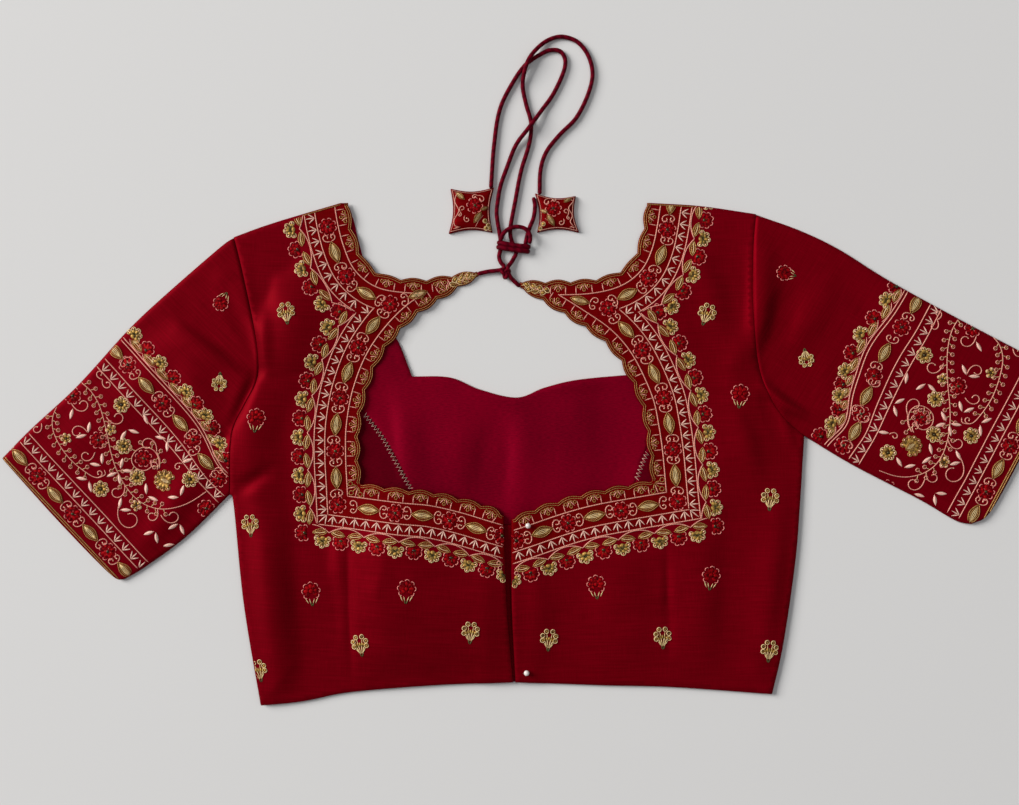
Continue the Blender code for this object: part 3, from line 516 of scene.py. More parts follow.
class Paint:
    """A material and the means to add nodes to it."""

    def __init__(self, name, colour, roughness, **sockets):
        self.material = bpy.data.materials.new(name)
        self.material.use_nodes = True
        self.tree = self.material.node_tree
        self.shader = self.tree.nodes["Principled BSDF"]
        self.set(self.shader, Base_Color=colour, Roughness=roughness, **sockets)

    def set(self, node, **sockets):
        for name, value in sockets.items():
            socket = node.inputs[int(name[1:]) if name[1:].isdigit() else name.replace("_", " ")]
            if isinstance(value, bpy.types.NodeSocket):
                self.tree.links.new(value, socket)
            else:
                socket.default_value = value

    def node(self, kind, settings=(), **sockets):
        made = self.tree.nodes.new("ShaderNode" + kind)
        for name, value in dict(settings).items():
            setattr(made, name, value)
        self.set(made, **sockets)
        return made

    def attribute(self, name):
        return self.node("Attribute", {"attribute_name": name})

    def noise(self, vector, scale, detail=2.0):
        """Noise read at a vector that is first stretched by scale, per metre."""
        stretched = self.node("VectorMath", {"operation": "MULTIPLY"}, _0=vector, _1=scale)
        made = self.node("TexNoise", Vector=stretched.outputs[0], Scale=1.0, Detail=detail)
        return made.outputs["Fac"]

    def ramp(self, factor, *stops):
        """Colours at places from 0 to 1."""
        made = self.node("ValToRGB", Fac=factor)
        elements = made.color_ramp.elements
        while len(elements) < len(stops):
            elements.new(0.5)
        for element, (place, colour) in zip(elements, stops):
            element.position = place
            element.color = colour
        return made.outputs["Color"]

    def mix(self, factor, first, second, how="MIX"):
        made = self.node("Mix", {"data_type": "RGBA", "blend_type": how},
                         _0=factor, _6=first, _7=second)
        return made.outputs[2]

    def maths(self, how, first, second, third=0.5):
        return self.node("Math", {"operation": how}, _0=first, _1=second, _2=third).outputs[0]

    def bump(self, height, distance, strength):
        made = self.node("Bump", Height=height, Distance=distance, Strength=strength)
        return made.outputs["Normal"]

    def wave(self, angle):
        """A sine from 0 to 1."""
        return self.maths("MULTIPLY_ADD", self.maths("SINE", angle, 0.0), 0.5, 0.5)

    def blend(self, first, share, second, other):
        """share of the first and other of the second, added up."""
        return self.maths("MULTIPLY_ADD", first, share, self.maths("MULTIPLY", second, other))

    def mottle(self, scale, detail, *stops):
        """A colour that wanders from place to place."""
        place = self.node("TexCoord").outputs["Object"]
        shade = self.noise(place, (scale,) * 3, detail)
        self.set(self.shader, Base_Color=self.ramp(shade, *stops))


def silk_paint():
    """Raw silk: satin ground, slubs along the weft; under the border more orange, darker as
    painted shade.
    """
    paint = Paint("crimson_silk", linear(112, 0, 14), 0.52, Metallic=0.3, Specular_IOR_Level=0.1,
                  Specular_Tint=linear(255, 60, 60))
    grain = paint.attribute("grain").outputs["Vector"]
    slub = paint.noise(grain, (38.0, 820.0, 1.0), 3.0)
    warp = paint.noise(grain, (1500.0, 70.0, 1.0), 2.0)
    cloudy = paint.noise(grain, (14.0, 9.0, 1.0), 2.0)
    threads = paint.blend(slub, 0.6, warp, 0.4)
    plain = paint.ramp(threads, (0.33, linear(104, 0, 12)), (0.52, linear(114, 0, 15)),
                       (0.68, linear(124, 0, 18)))
    worn = paint.ramp(cloudy, (0.3, linear(238, 230, 232)), (0.7, (1.0, 1.0, 1.0, 1.0)))
    plain = paint.mix(1.0, plain, worn, "MULTIPLY")
    # the border's ground: more orange, and darker as painted shade between the raised threads
    ground = paint.ramp(threads, (0.33, linear(94, 1, 4)), (0.52, linear(106, 2, 5)),
                        (0.68, linear(118, 4, 8)))
    depth = paint.attribute("edge").outputs["Fac"]
    border = paint.maths("LESS_THAN", depth, BORDER_GROUND)
    paint.set(paint.shader, Base_Color=paint.mix(border, plain, ground),
              Roughness=paint.maths("MULTIPLY_ADD", slub, 0.14, 0.46),
              Normal=paint.bump(threads, 0.00008, 0.35))
    return paint.material


def lining_paint(name, colour):
    """Plain satin-weave lining."""
    paint = Paint(name, linear(*colour), 0.5, Metallic=0.3, Specular_IOR_Level=0.12,
                  Specular_Tint=linear(255, 60, 90))
    grain = paint.attribute("grain").outputs["Vector"]
    weave = paint.noise(grain, (300.0, 1200.0, 1.0), 2.0)
    cloudy = paint.noise(grain, (20.0, 11.0, 1.0), 2.0)
    darker = tuple(c * 0.84 for c in colour)
    lighter = tuple(min(255, c * 1.1) for c in colour)
    tone = paint.ramp(paint.blend(weave, 0.5, cloudy, 0.5), (0.35, linear(*darker)),
                      (0.65, linear(*lighter)))
    paint.set(paint.shader, Base_Color=tone, Normal=paint.bump(weave, 0.00006, 0.5),
              Roughness=paint.maths("MULTIPLY_ADD", weave, 0.2, 0.42))
    return paint.material


def thread_paint(name, dark, light, metallic, roughness, pitch=1.25):
    """Twisted thread, couched down: its turns show as light and dark along its run."""
    paint = Paint(name, linear(*light), roughness, Metallic=metallic)
    run = paint.node("SeparateXYZ", _0=paint.attribute("run").outputs["Vector"])
    turns = paint.maths("MULTIPLY_ADD", run.outputs["X"], 2 * math.pi / (pitch * MM),
                        paint.maths("MULTIPLY", run.outputs["Y"], 1.4))
    twist = paint.wave(turns)
    patchy = paint.noise(paint.node("TexCoord").outputs["Object"], (420.0,) * 3, 2.0)
    tone = paint.ramp(paint.blend(twist, 0.55, patchy, 0.5), (0.15, linear(*dark)),
                      (0.75, linear(*light)))
    paint.set(paint.shader, Base_Color=tone, Normal=paint.bump(twist, 0.00012, 0.8))
    return paint.material


def bead_paint(name, dark, light, metallic, roughness, coat=0.0, specular=0.35):
    """Cut beads and sequins, no two quite the same shade."""
    paint = Paint(name, linear(*light), roughness, Metallic=metallic, Coat_Weight=coat,
                  Coat_Roughness=0.08, Specular_IOR_Level=specular)
    paint.mottle(520.0, 1.0, (0.36, linear(*dark)), (0.62, linear(*light)))
    return paint.material


def cord_paint():
    """Rolled satin cord: the weave runs round it at a slant."""
    paint = Paint("wine_cord", linear(88, 2, 20), 0.55, Metallic=0.12, Specular_IOR_Level=0.15,
                  Specular_Tint=linear(255, 90, 120))
    run = paint.attribute("run").outputs["Vector"]
    weave = paint.noise(run, (500.0, 1.6, 1.0), 2.0)
    parts = paint.node("SeparateXYZ", _0=run)
    slant = paint.maths("MULTIPLY_ADD", parts.outputs["X"], 2 * math.pi / (5.5 * MM),
                        parts.outputs["Y"])
    tone = paint.blend(paint.wave(slant), 0.35, weave, 0.65)
    paint.set(paint.shader, Normal=paint.bump(tone, 0.0002, 0.6), Base_Color=paint.ramp(
        tone, (0.25, linear(62, 1, 13)), (0.7, linear(104, 4, 24))))
    return paint.material


def pearl_paint():
    paint = Paint("pearl", linear(238, 230, 224), 0.22, Coat_Weight=0.6, Coat_Roughness=0.08,
                  Sheen_Weight=0.1)
    paint.mottle(300.0, 2.0, (0.35, linear(226, 214, 206)), (0.65, linear(245, 240, 236)))
    return paint.material


SILK_RED = silk_paint()
LINING = lining_paint("wine_lining", (120, 0, 27))
# the side panels' lining: the wine lining in a darker tone, painted shade for the shadow the
# keyhole's edge casts on them
LINING_PAINTED_SHADE = lining_paint("wine_lining_painted_shade", (88, 0, 17))
CORD = cord_paint()
PEARL = pearl_paint()
# dark and light colour, metallic, roughness, and the twist's pitch where it is not 1.25 mm
THREADS = {
    "pale": ((186, 92, 78), (255, 188, 166), 0.12, 0.45),
    "gold": ((92, 58, 20), (214, 164, 92), 0.45, 0.4),
    "white": ((206, 138, 122), (255, 218, 198), 0.1, 0.45, 1.0),
    "pink": ((190, 64, 68), (255, 168, 154), 0.12, 0.4),
    "green": ((34, 38, 16), (92, 92, 40), 0.2, 0.5),
    "straw": ((184, 144, 82), (255, 232, 176), 0.25, 0.45, 0.7),
}
# slot, dark and light colour, metallic, roughness, coat and specular
BEADS = {
    "gold_bead": ("gold_bead", (92, 64, 22), (190, 148, 70), 0.35, 0.5),
    "pale_bead": ("gold_bead", (206, 132, 96), (255, 216, 184), 0.3, 0.3),
    "red_sequin": ("sequin", (80, 0, 5), (158, 5, 14), 0.3, 0.55, 0.0, 0.05),
    "green_bead": ("sequin", (30, 16, 8), (66, 62, 20), 0.3, 0.35, 0.2),
}
WORK = {finish: (thread_paint(f"{finish}_thread", *looks), "gold_thread")
        for finish, looks in THREADS.items()}
WORK.update({finish: (bead_paint(finish, *looks), slot)
             for finish, (slot, *looks) in BEADS.items()})


# ---- Meshes ----
def placed(data):
    made = bpy.data.objects.new(data.name, data)
    bpy.context.scene.collection.objects.link(made)
    return made


def make_piece(name, points, faces, materials, slot, replaces=(), face_slots=None, **values):
    """A mesh in the row frame that rides on the blouse; points are in millimetres."""
    mesh = bpy.data.meshes.new(name)
    mesh.vertices.add(len(points))
    mesh.vertices.foreach_set("co", (np.asarray(points, float) * MM).astype(np.float32).ravel())
    mesh.loops.add(faces.size)
    mesh.loops.foreach_set("vertex_index", faces.astype(np.int32).ravel())
    mesh.polygons.add(len(faces))
    mesh.polygons.foreach_set("loop_start", np.arange(0, faces.size, faces.shape[1]))
    for material in materials:
        mesh.materials.append(material)
    if face_slots is not None:
        mesh.polygons.foreach_set("material_index", face_slots.astype(np.int32))
    for key, value in values.items():
        kind, field = ("FLOAT", "value") if np.ndim(value) == 1 else ("FLOAT_VECTOR", "vector")
        layer = mesh.attributes.new(key, kind, "POINT")
        layer.data.foreach_set(field, np.asarray(value, np.float32).ravel())
    mesh.update(calc_edges=True)
    mesh.validate()
    mesh.shade_smooth()
    piece = placed(mesh)
    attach(piece, "root")
    if replaces:
        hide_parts(*replaces)
    return piece


def skin(rows, columns, loop_rows=False, loop_columns=True):
    """Quads over rows of points, numbered row after row, and round in a loop where asked."""
    row = np.arange(rows if loop_rows else rows - 1)[:, None]
    column = np.arange(columns if loop_columns else columns - 1)[None, :]
    following, after = (row + 1) % rows * columns, (column + 1) % columns
    row = row * columns
    quads = [row + column, row + after, following + after, following + column]
    return np.stack(quads, axis=-1).reshape(-1, 4)


def halved(quads):
    return np.vstack([quads[:, [0, 1, 2]], quads[:, [0, 2, 3]]])


def capped(rows, sides):
    """Triangles over rings of points, closed by two end points that follow the rings."""
    k = np.arange(sides)
    after = (k + 1) % sides
    last, end = (rows - 1) * sides, np.full(sides, rows * sides)
    return np.vstack([halved(skin(rows, sides)), np.column_stack([after, k, end]),
                      np.column_stack([last + k, last + after, end + 1])])


def filled(outline, cell, lines=()):
    """Plan points and triangles that fill an outline, with points along the given lines."""
    low, high = outline.min(axis=0), outline.max(axis=0)
    columns = np.arange(low[0], high[0], cell)
    rows = np.arange(low[1], high[1], cell * math.sqrt(3) / 2)
    x, y = np.meshgrid(columns, rows)
    x = x + np.where(np.arange(len(rows)) % 2, cell / 2, 0)[:, None]
    x, y = x.ravel(), y.ravel()
    edge = [closed(outline)]
    clear = within(outline, x, y) & (distance_from(edge, x, y) > 0.6 * cell)
    extra = [outline]
    for line in lines:
        held = within(outline, *line.T) & (distance_from(edge, *line.T) > 0.4 * EDGE_STEP)
        clear &= distance_from([line], x, y) > 0.45 * cell
        extra.append(line[held])
    points = np.vstack([*extra, np.stack([x[clear], y[clear]], axis=1)])
    rim = [(i, (i + 1) % len(outline)) for i in range(len(outline))]
    cut = delaunay_2d_cdt([Vector(p) for p in points], rim, [], 0, 1e-4, False)
    plan, triangles = np.array([tuple(v) for v in cut[0]]), np.array(cut[2], int)
    return plan, triangles[within(outline, *plan[triangles].mean(axis=1).T)]


def rim_of(triangles):
    """The edges used by one triangle only, each in its triangle's own direction."""
    edges = np.concatenate([triangles[:, [0, 1]], triangles[:, [1, 2]], triangles[:, [2, 0]]])
    _, first, uses = np.unique(np.sort(edges, axis=1), axis=0, return_index=True,
                               return_counts=True)
    return edges[first[uses == 1]]


def shell(name, plan, triangles, top, wall, materials, slot, replaces, **values):
    """A thin closed wall with its upper side at the heights top, and a rounded rim."""
    first, second = (plan[triangles[:, k]] - plan[triangles[:, 0]] for k in (1, 2))
    wrong = first[:, 0] * second[:, 1] < first[:, 1] * second[:, 0]
    triangles = np.where(wrong[:, None], triangles[:, ::-1], triangles)
    rim = rim_of(triangles)
    away = -quarter_left(unit(plan[rim[:, 1]] - plan[rim[:, 0]]))
    outward = np.zeros_like(plan)
    for end in rim.T:
        np.add.at(outward, end, away)
    edge = outward.any(axis=1)
    outward = unit(outward)
    count = len(plan)
    rounded = np.full(count, -1)
    rounded[edge] = np.arange(edge.sum()) + 2 * count
    drawn = plan - outward * RIM_DRAW
    bulge = plan + outward * RIM_BULGE
    points = np.vstack([np.column_stack([drawn, top]), np.column_stack([drawn, top - wall]),
                        np.column_stack([bulge, top - wall / 2])[edge]])
    i, j = rim.T
    rim_faces = [(rounded[i], rounded[j], j), (rounded[i], j, i),
                 (i + count, j + count, rounded[j]), (i + count, rounded[j], rounded[i])]
    faces = np.vstack([triangles, triangles[:, ::-1] + count, *map(np.column_stack, rim_faces)])
    slots = np.zeros(len(faces))
    slots[len(triangles):2 * len(triangles)] = len(materials) - 1
    values = {key: np.concatenate([value, value, value[edge]]) for key, value in values.items()}
    return make_piece(name, points, faces, materials, slot, replaces, slots, **values)


def grain_of(plan, across, origin=(0, 0)):
    """Place along the weft and along the warp, in metres, for the weave of a piece."""
    offset = (plan - np.array(origin)) * MM
    across = np.array(across)
    return np.column_stack([offset @ across, offset @ quarter_left(across),
                            np.zeros(len(plan))])


# ---- The neck borders' own lines ----
BORDER_REACH = 72.0         # how far the lines that depth is measured from run on past the edges


class Border:
    """The band along one half's neck edge, keyhole side and keyhole low edge.

    A place's depth is its distance from the nearest edge, so that lines of equal depth meet in
    a mitre where the neck and the keyhole come together and at the keyhole's corner.
    """

    def __init__(self, half, low_end, band, fringe):
        """The bands pass by the last bend of the low edge, and run straight on to low_end.

        band is where the motifs start on the neck and on the side; fringe is the same for the
        outer flowers, with their pitch on the neck between.
        """
        self.band = band
        self.fringe = fringe
        self.outline = half.back
        self.shoulder = half.shoulder
        self.points = (half.neck, half.keyhole, half.low)
        self.inward = (half.hand, -half.hand, -half.hand)
        self.edges = [smooth(points, 1.2)
                      for points in (half.neck, half.keyhole, (*half.low[:-1], low_end))]
        self.long = [extended(line, BORDER_REACH) for line in self.edges]

    def depth(self, x, y):
        neck, side, low = (side_distance(line[::5], x, y, way)
                           for line, way in zip(self.long, self.inward))
        return np.minimum(neck, np.maximum(side, low))

    def rail(self, which, depth, inset):
        """The longest run of a line at one depth along one of the three edges."""
        way = self.inward[which] * left_of(self.long[which])
        line = self.long[which] + way * depth
        good = np.abs(self.depth(*line.T) - depth) < 0.45
        good &= within(self.outline, *line.T)
        good &= distance_from([closed(self.outline)], *line.T) > inset
        run = max((run for run in runs_of(good) if len(run) > 4), key=len)
        return Rail(line[run], left_of(line)[run] * self.inward[which])

    def corner(self, depth, inset):
        """The keyhole's low corner at a depth: its place, and the ways across and along it."""
        side, low = self.rail(1, depth, inset), self.rail(2, depth, inset)
        place, _, way = side.at(side.length)
        way = unit(way + low.at(0)[2])
        return place, -quarter_left(way), way


class Rail:
    """A line that a band of embroidery follows; inward points away from the neck or cuff."""

    def __init__(self, line, inward):
        self.line = line
        self.inward = inward
        self.place = travelled(line)
        self.length = self.place[-1]

    def at(self, s):
        """Origin and the two unit vectors, along and inward, at a distance along the line."""
        origin = read(s, self.place, self.line)
        inward = unit(read(s, self.place, self.inward))
        ahead = -quarter_left(inward)
        step = read(s + 1, self.place, self.line) - origin
        if not step.any():
            step = self.line[-1] - self.line[0]
        if step @ ahead < 0:
            ahead = -ahead
        beyond = s - min(max(s, 0.0), self.length)
        return origin + ahead * beyond, ahead, inward

    def stations(self, pitch):
        """Evenly spaced distances that fill the line, about a pitch apart."""
        count = max(1, round(self.length / pitch))
        return (np.arange(count) + 0.5) * self.length / count


# ---- Stitches ----
THREAD = 0.85               # width of a couched thread
THREAD_HIGH = 0.5
THREAD_STEP = 1.1
THREAD_SECTION = ((-0.5, 0.0), (0.0, 1.0), (0.5, 0.0))      # across the width, and up
LEAF_SECTION = ((-1.0, 0.02), (-0.55, 0.8), (0.0, 1.0), (0.55, 0.8), (1.0, 0.02))
LEAF_SLANT = 0.8            # how far the stitches of a filled leaf lean
OVER_EDGE = 0.9             # how far a bead or a filled petal may stand past the cloth's edge


class Work:
    """Raised work on one surface, gathered first and then made as one mesh for each finish."""

    def __init__(self, name, surface, outline):
        self.name = name
        self.surface = surface
        self.outline = outline
        self.threads = []
        self.solids = []

    def thread(self, finish, points, width=THREAD, high=THREAD_HIGH, taper=False, free=False):
        """A thread laid along plan points; free lets it pass the cloth's edge."""
        self.threads.append((finish, np.asarray(points, float), width, high, taper, free))

    def solid(self, finish, plan, heights, faces, place):
        """place is how far along it each point is: the thread's turns lie across it."""
        run = np.column_stack([place * MM, np.zeros((len(place), 2))])
        self.solids.append((finish, plan, heights, faces, run))

    def build(self):
        """Makes the meshes and returns them."""
        gathered = {}
        kept = within(self.outline, *plan_of(self.threads).T)
        for (finish, points, *sizes, free), good in shared_out(kept, self.threads):
            for run in runs_of(good | free):
                if len(run) > 1:
                    gathered.setdefault(finish, []).append(laid_thread(points[run], *sizes))
        if self.solids:
            points = plan_of(self.solids)
            past = ~within(self.outline, *points.T)
            past[past] = distance_from([closed(self.outline)], *points[past].T) > OVER_EDGE
            for (finish, *solid), out in shared_out(past, self.solids):
                if not out.any():
                    gathered.setdefault(finish, []).append(solid)
        return [self.merged(*found) for found in gathered.items()]

    def merged(self, finish, found):
        offsets = np.cumsum([0, *(len(plan) for plan, *_ in found)])
        moved = [(plan, heights, faces + offset, run)
                 for (plan, heights, faces, run), offset in zip(found, offsets)]
        plan, heights, faces, run = map(np.concatenate, zip(*moved))
        z = self.surface(*plan.T) + heights
        material, slot = WORK[finish]
        return make_piece(f"{self.name}_{finish}", np.column_stack([plan, z]), faces, [material],
                          slot, run=run)


def plan_of(items):
    return np.vstack([item[1] for item in items])


def shared_out(marks, items):
    """Each item with the marks of its own plan points."""
    return zip(items, np.split(marks, np.cumsum([len(item[1]) for item in items])[:-1]))


def laid_thread(points, width, high, taper):
    """Rings of a thin closed strip of thread: plan, heights, triangles and place along it."""
    count = len(points)
    across, up = np.array(THREAD_SECTION).T[..., None]
    full = np.ones(count)
    if taper:
        full = 0.35 + 0.65 * np.sin(math.pi * np.linspace(0, 1, count))
    else:
        full[[0, -1]] = 0.5
    plan = (points + left_of(points) * (across * width * full)[..., None]).reshape(-1, 2)
    heights = (0.02 + up * high * full).ravel()
    rings = len(across)
    run = np.column_stack([np.tile(travelled(points) * MM, rings),
                           np.repeat(np.arange(rings), count), np.zeros(rings * count)])
    return plan, heights, halved(skin(rings, count, True, False))[:, ::-1], run


def way_of(angle):
    return np.stack([np.cos(angle), np.sin(angle)], axis=-1)


def leaning(angle):
    """Unit vector that leans from the y direction by an angle."""
    return way_of(math.pi / 2 - angle)


def turn_of(angle):
    """The matrix that turns plan points by an angle."""
    return np.array([way_of(angle), quarter_left(way_of(angle))])


def arc(centre, radius, start=0.0, end=2 * math.pi):
    count = max(4, math.ceil(abs(end - start) * radius / THREAD_STEP))
    return centre + radius * way_of(np.linspace(start, end, count + 1))


class Pen:
    """Draws on a work about one place: x runs ahead along the band, y inward from the edge."""

    def __init__(self, work, origin=(0.0, 0.0), ahead=(1.0, 0.0), inward=(0.0, 1.0)):
        self.work = work
        self.origin = np.array(origin)
        self.axes = np.array([ahead, inward])

    def put(self, points):
        """Local points set down in the plan."""
        return self.origin + np.asarray(points, float) @ self.axes

    def turned(self, angle, offset=(0.0, 0.0), size=1.0):
        """A pen at a local offset, turned and scaled."""
        return Pen(self.work, self.put(offset), *(turn_of(angle) @ self.axes * size))

    def thread(self, finish, points, width=THREAD, high=THREAD_HIGH):
        self.work.thread(finish, self.put(points), width, high)

    def ring(self, finish, centre, radius, width=0.7, high=THREAD_HIGH):
        self.thread(finish, arc(centre, radius), width, high)

    def stitch(self, finish, start, end, width=0.9, high=0.55):
        """One straight stitch, thickest in its middle."""
        start, end = self.put([start, end])
        self.work.thread(finish, [start, (start + end) / 2, end], width, high, taper=True)

    def dome(self, finish, centre, radii, facing=None, high=0.6, sides=8):
        """A low oval cushion of thread that faces one way, or a round bead."""
        ring = way_of(2 * math.pi * np.arange(sides) / sides)
        flat = np.vstack([ring, ring * 0.72, np.zeros((2, 2))]) * radii
        heights = np.repeat([0.02, 0.75 * high, 0.02, high], [sides, sides, 1, 1])
        ahead = way_of(0.0) if facing is None else unit(way_of(facing) @ self.axes)
        plan = self.put(centre) + flat @ np.array([ahead, quarter_left(ahead)])
        self.work.solid(finish, plan, heights, capped(2, sides), flat[:, 0])

    def leaf(self, finish, tail, tip, width, high, rows=5):
        """A pointed oval of laid thread from its tail to its tip."""
        tail, tip = self.put([tail, tip])
        t = np.linspace(0, 1, rows + 1)
        half = width / 2 * np.sin(math.pi * t) ** 0.8
        half[[0, -1]] = 0.12
        across, up = np.array(LEAF_SECTION).T[..., None]
        spine = tail + (tip - tail) * t[:, None]
        side = quarter_left(unit(tip - tail))
        plan = (spine + side * (half * across)[..., None]).reshape(-1, 2)
        heights = (high * np.sin(math.pi * (0.12 + 0.76 * t)) * up).ravel()
        place = (math.dist(tail, tip) * t + half * across * LEAF_SLANT).ravel()
        faces = halved(skin(len(across), rows + 1, True, False))[:, ::-1]
        self.work.solid(finish, plan, heights, faces, place)


# ---- Motifs: each is drawn about its own place, x along the band and y away from the edge ----
LEAF = (16.8, 7.6)          # long and wide: the gold leaves of the main bands
# share of a leaf's half width and of its length, and finish, of each of its stitches
LEAF_STITCHES = ((-1.0, 1.0, "gold"), (1.0, 1.0, "gold"), (-0.64, 0.8, "gold"),
                 (0.64, 0.8, "gold"), (-0.32, 0.7, "straw"), (0.0, 0.78, "straw"),
                 (0.32, 0.7, "straw"))
VINE_LEAF_STITCHES = ((-1.0, 1.0, "gold"), (-0.36, 0.78, "gold"), (0.3, 0.78, "straw"),
                      (1.0, 1.0, "gold"))
PETAL_HIGH = {"red_sequin": 0.35, "gold_bead": 0.6}
FOOT = np.array([0.0, -8.0])         # where the strands of a sprig gather
# lean in radians and length of each looped strand
SPRIG_LOOPS = ((-0.62, 8.2), (-0.44, 11.4), (-0.17, 13.8), (0.17, 13.8), (0.44, 11.4), (0.62, 8.2))
PAIR_LEAF = 9.4             # length of the pale leaves of the vine
BERRY_PITCH = 6.4
BERRY_REACH = 3.9


def draw_curl(pen, start, heading, hand, length=12.0, width=THREAD):
    """A line that sets off along a heading and winds up into a hook, with a bead at its end."""
    count = max(9, round(length / 0.85))
    t = (np.arange(count) + 0.5) / count
    steps = way_of(heading + hand * 2 * math.pi * 0.86 * t ** 1.75) * length / count
    line = np.vstack([[0, 0], np.cumsum(steps, axis=0)]) + start
    pen.thread("pale", line, width)
    pen.dome("pale_bead", line[-1], (0.55, 0.55), high=0.5, sides=6)


def draw_petals(pen, petals, span, reach, size, fill, line, bead=None, opening=2.05):
    """Petals over a span about the y direction: a filled oval and an open loop round each tip."""
    for k in range(petals):
        angle = math.pi / 2 + span * ((k + 0.5) / petals - 0.5)
        way = way_of(angle)
        pen.dome(fill, way * reach * 0.7, (reach * 0.42, size * 0.92), angle, PETAL_HIGH[fill])
        pen.thread(line, arc(way * reach, size, angle - opening, angle + opening), 0.8)
        if bead:
            pen.dome(bead, way * (reach + size * 0.35), (0.75, 0.75), high=0.9)


def draw_eye(pen, radius):
    pen.dome("green_bead", (0, 0), (radius * 0.2, radius * 0.2), high=0.9)


def draw_red_flower(pen, radius=6.8):
    """Eight dark red petals, each with a pink loop round its tip, and a dark eye."""
    pen.dome("red_sequin", (0, 0), (radius * 0.62, radius * 0.62), high=0.35, sides=12)
    draw_petals(pen, 8, 2 * math.pi, radius * 0.75, radius * 0.225, "red_sequin", "pink",
                opening=1.3)
    for k in range(4):
        way = way_of(math.pi / 2 * k + 0.6) * radius
        pen.stitch("pink", way * 0.2, way * 0.42, 0.6)
    draw_eye(pen, radius)


def draw_gold_flower(pen, radius=6.2, petals=7):
    """A round flower of gold petals inside pale loops, with green lines between them."""
    draw_petals(pen, petals, 2 * math.pi, radius * 0.68, radius * 0.29, "gold_bead", "straw",
                "pale_bead")
    for k in range(petals):
        way = way_of(math.pi / 2 + 2 * math.pi * k / petals) * radius
        pen.stitch("green", way * 0.16, way * 0.56, 0.8)
    draw_eye(pen, radius)


def draw_fringe_red(pen):
    """A dark red flower with pink loops that opens away from the border."""
    pen.dome("red_sequin", (0, 0.4), (3.6, 3.4), 0, 0.35, 12)
    draw_petals(pen, 6, 1.5 * math.pi, 4.7, 1.6, "red_sequin", "pink", opening=1.4)
    pen.dome("green_bead", (0, -0.8), (1.6, 1.2), 0, 0.9)
    for x in (-1.0, 0.9):
        pen.stitch("green", (x * 0.4, 0.0), (x * 1.7, 2.4), 0.7)


def draw_fringe_gold(pen):
    """A gold flower of five looped petals that opens away from the border."""
    draw_petals(pen, 5, 1.4 * math.pi, 4.5, 1.75, "gold_bead", "straw", "pale_bead", 2.2)
    pen.dome("gold_bead", (0, -1.2), (2.2, 1.6), 0)
    for lean in (-1.25, -0.45, 0.45, 1.25):
        pen.stitch("green", leaning(lean) * 0.3, leaning(lean) * 3.2, 0.8, 0.8)


def draw_gold_leaf(pen, long=LEAF[0], wide=LEAF[1]):
    """A pointed oval of long stitches, brightest along the middle, in a thin gold outline."""
    t = np.linspace(0, 1, 9)
    belly = np.sin(math.pi * t) * wide / 2
    for share, reach, finish in LEAF_STITCHES:
        row = np.column_stack([(t - 0.5) * long * reach, share * belly])
        pen.thread(finish, row, wide * 0.12, 0.9)


def draw_tip_curls(pen, end, long=LEAF[0]):
    """The pair of curls that springs from one end of a gold leaf and hooks away from it."""
    x = end * (long / 2 + 0.3)
    for share in (-1, 1):
        length = 13.4 if share == end else 10.8
        draw_curl(pen, (x, share * 0.3), math.atan2(share, end * 0.1), -share * end, length)


def draw_bird_foot(pen, long=6.6, lean=0.64, side=0.86):
    """Three straight stitches that spread from one point, the apex, at y = 0."""
    for angle, share in ((-lean, side), (0.0, 1.0), (lean, side)):
        tip = leaning(angle) * long * share
        pen.stitch("white", tip * 0.04, tip, 1.25, 0.7)


def draw_edge_fan(pen):
    """The gold sprig inside one scallop: loops and stitches that spread towards the band."""
    for lean, long in ((-1.05, 4.2), (0.0, 4.8), (1.05, 4.2)):
        tip = leaning(lean) * long
        pen.ring("gold", tip, 1.15)
        pen.stitch("gold", tip * 0.1, tip * 0.8, 1.0, 0.6)
    for lean in (-0.55, 0.55):
        tip = leaning(lean) * 5.4
        pen.stitch("pale", tip * 0.2, tip, 1.1, 0.7)


def draw_vine_leaf(pen, long=11.6):
    """An open leaf that lies along the border inside one arch of the vine."""
    t = np.linspace(0, 1, 8)
    for share, reach, finish in VINE_LEAF_STITCHES:
        side = 0.2 + share * 2.3 * np.sin(math.pi * t) ** 0.85
        pen.thread(finish, np.column_stack([(t - 0.5) * long * reach, side]))


def draw_butti(pen, red):
    """A small bouquet that gathers in a green foot: one red flower, or gold loops on strands."""
    if red:
        draw_petals(pen.turned(0.0, (0.0, 1.8)), 7, 1.7 * math.pi, 5.2, 1.75, "red_sequin",
                    "pink", opening=1.25)
        pen.dome("red_sequin", (0, 1.8), (1.9, 1.9), high=0.4)
        for way in (-1, 1):
            pen.stitch("straw", (way * 2.6, -7.2), (way * 4.6, -3.4))
            pen.stitch("straw", (way * 0.8, -7.4), (way * 1.9, -3.9), 0.8)
    else:
        for lean, long in SPRIG_LOOPS:
            way = leaning(lean)
            pen.ring("straw", FOOT + way * long, 1.6, 0.85, 0.9)
            pen.dome("gold_bead", FOOT + way * long, (1.0, 1.0), high=0.4)
            pen.stitch("straw", FOOT + way * 1.4, FOOT + way * (long - 2), 1.1, 0.8)
        for lean in (-0.42, -0.21, 0.0, 0.21, 0.42):
            pen.dome("gold_bead", FOOT + leaning(lean) * 8.0, (1.8, 0.85), math.pi / 2 - lean, 0.8)
    for way in (-0.45, 0.45):
        heel = FOOT + (way * 0.6, -1.4)
        pen.stitch("green", heel, heel + (way * 2.2, 3.0), 1.3)


def draw_leaf_pair(pen, half_spread):
    """Two pale satin leaves that part from one stalk, or a single one with no spread."""
    for lean in sorted({-half_spread, half_spread}):
        tip = leaning(lean) * PAIR_LEAF
        pen.leaf("white", tip * 0.14, tip, 2.9, 0.5)
        pen.stitch("pale", tip * 0.1, tip * 0.9, 0.5, 0.75)


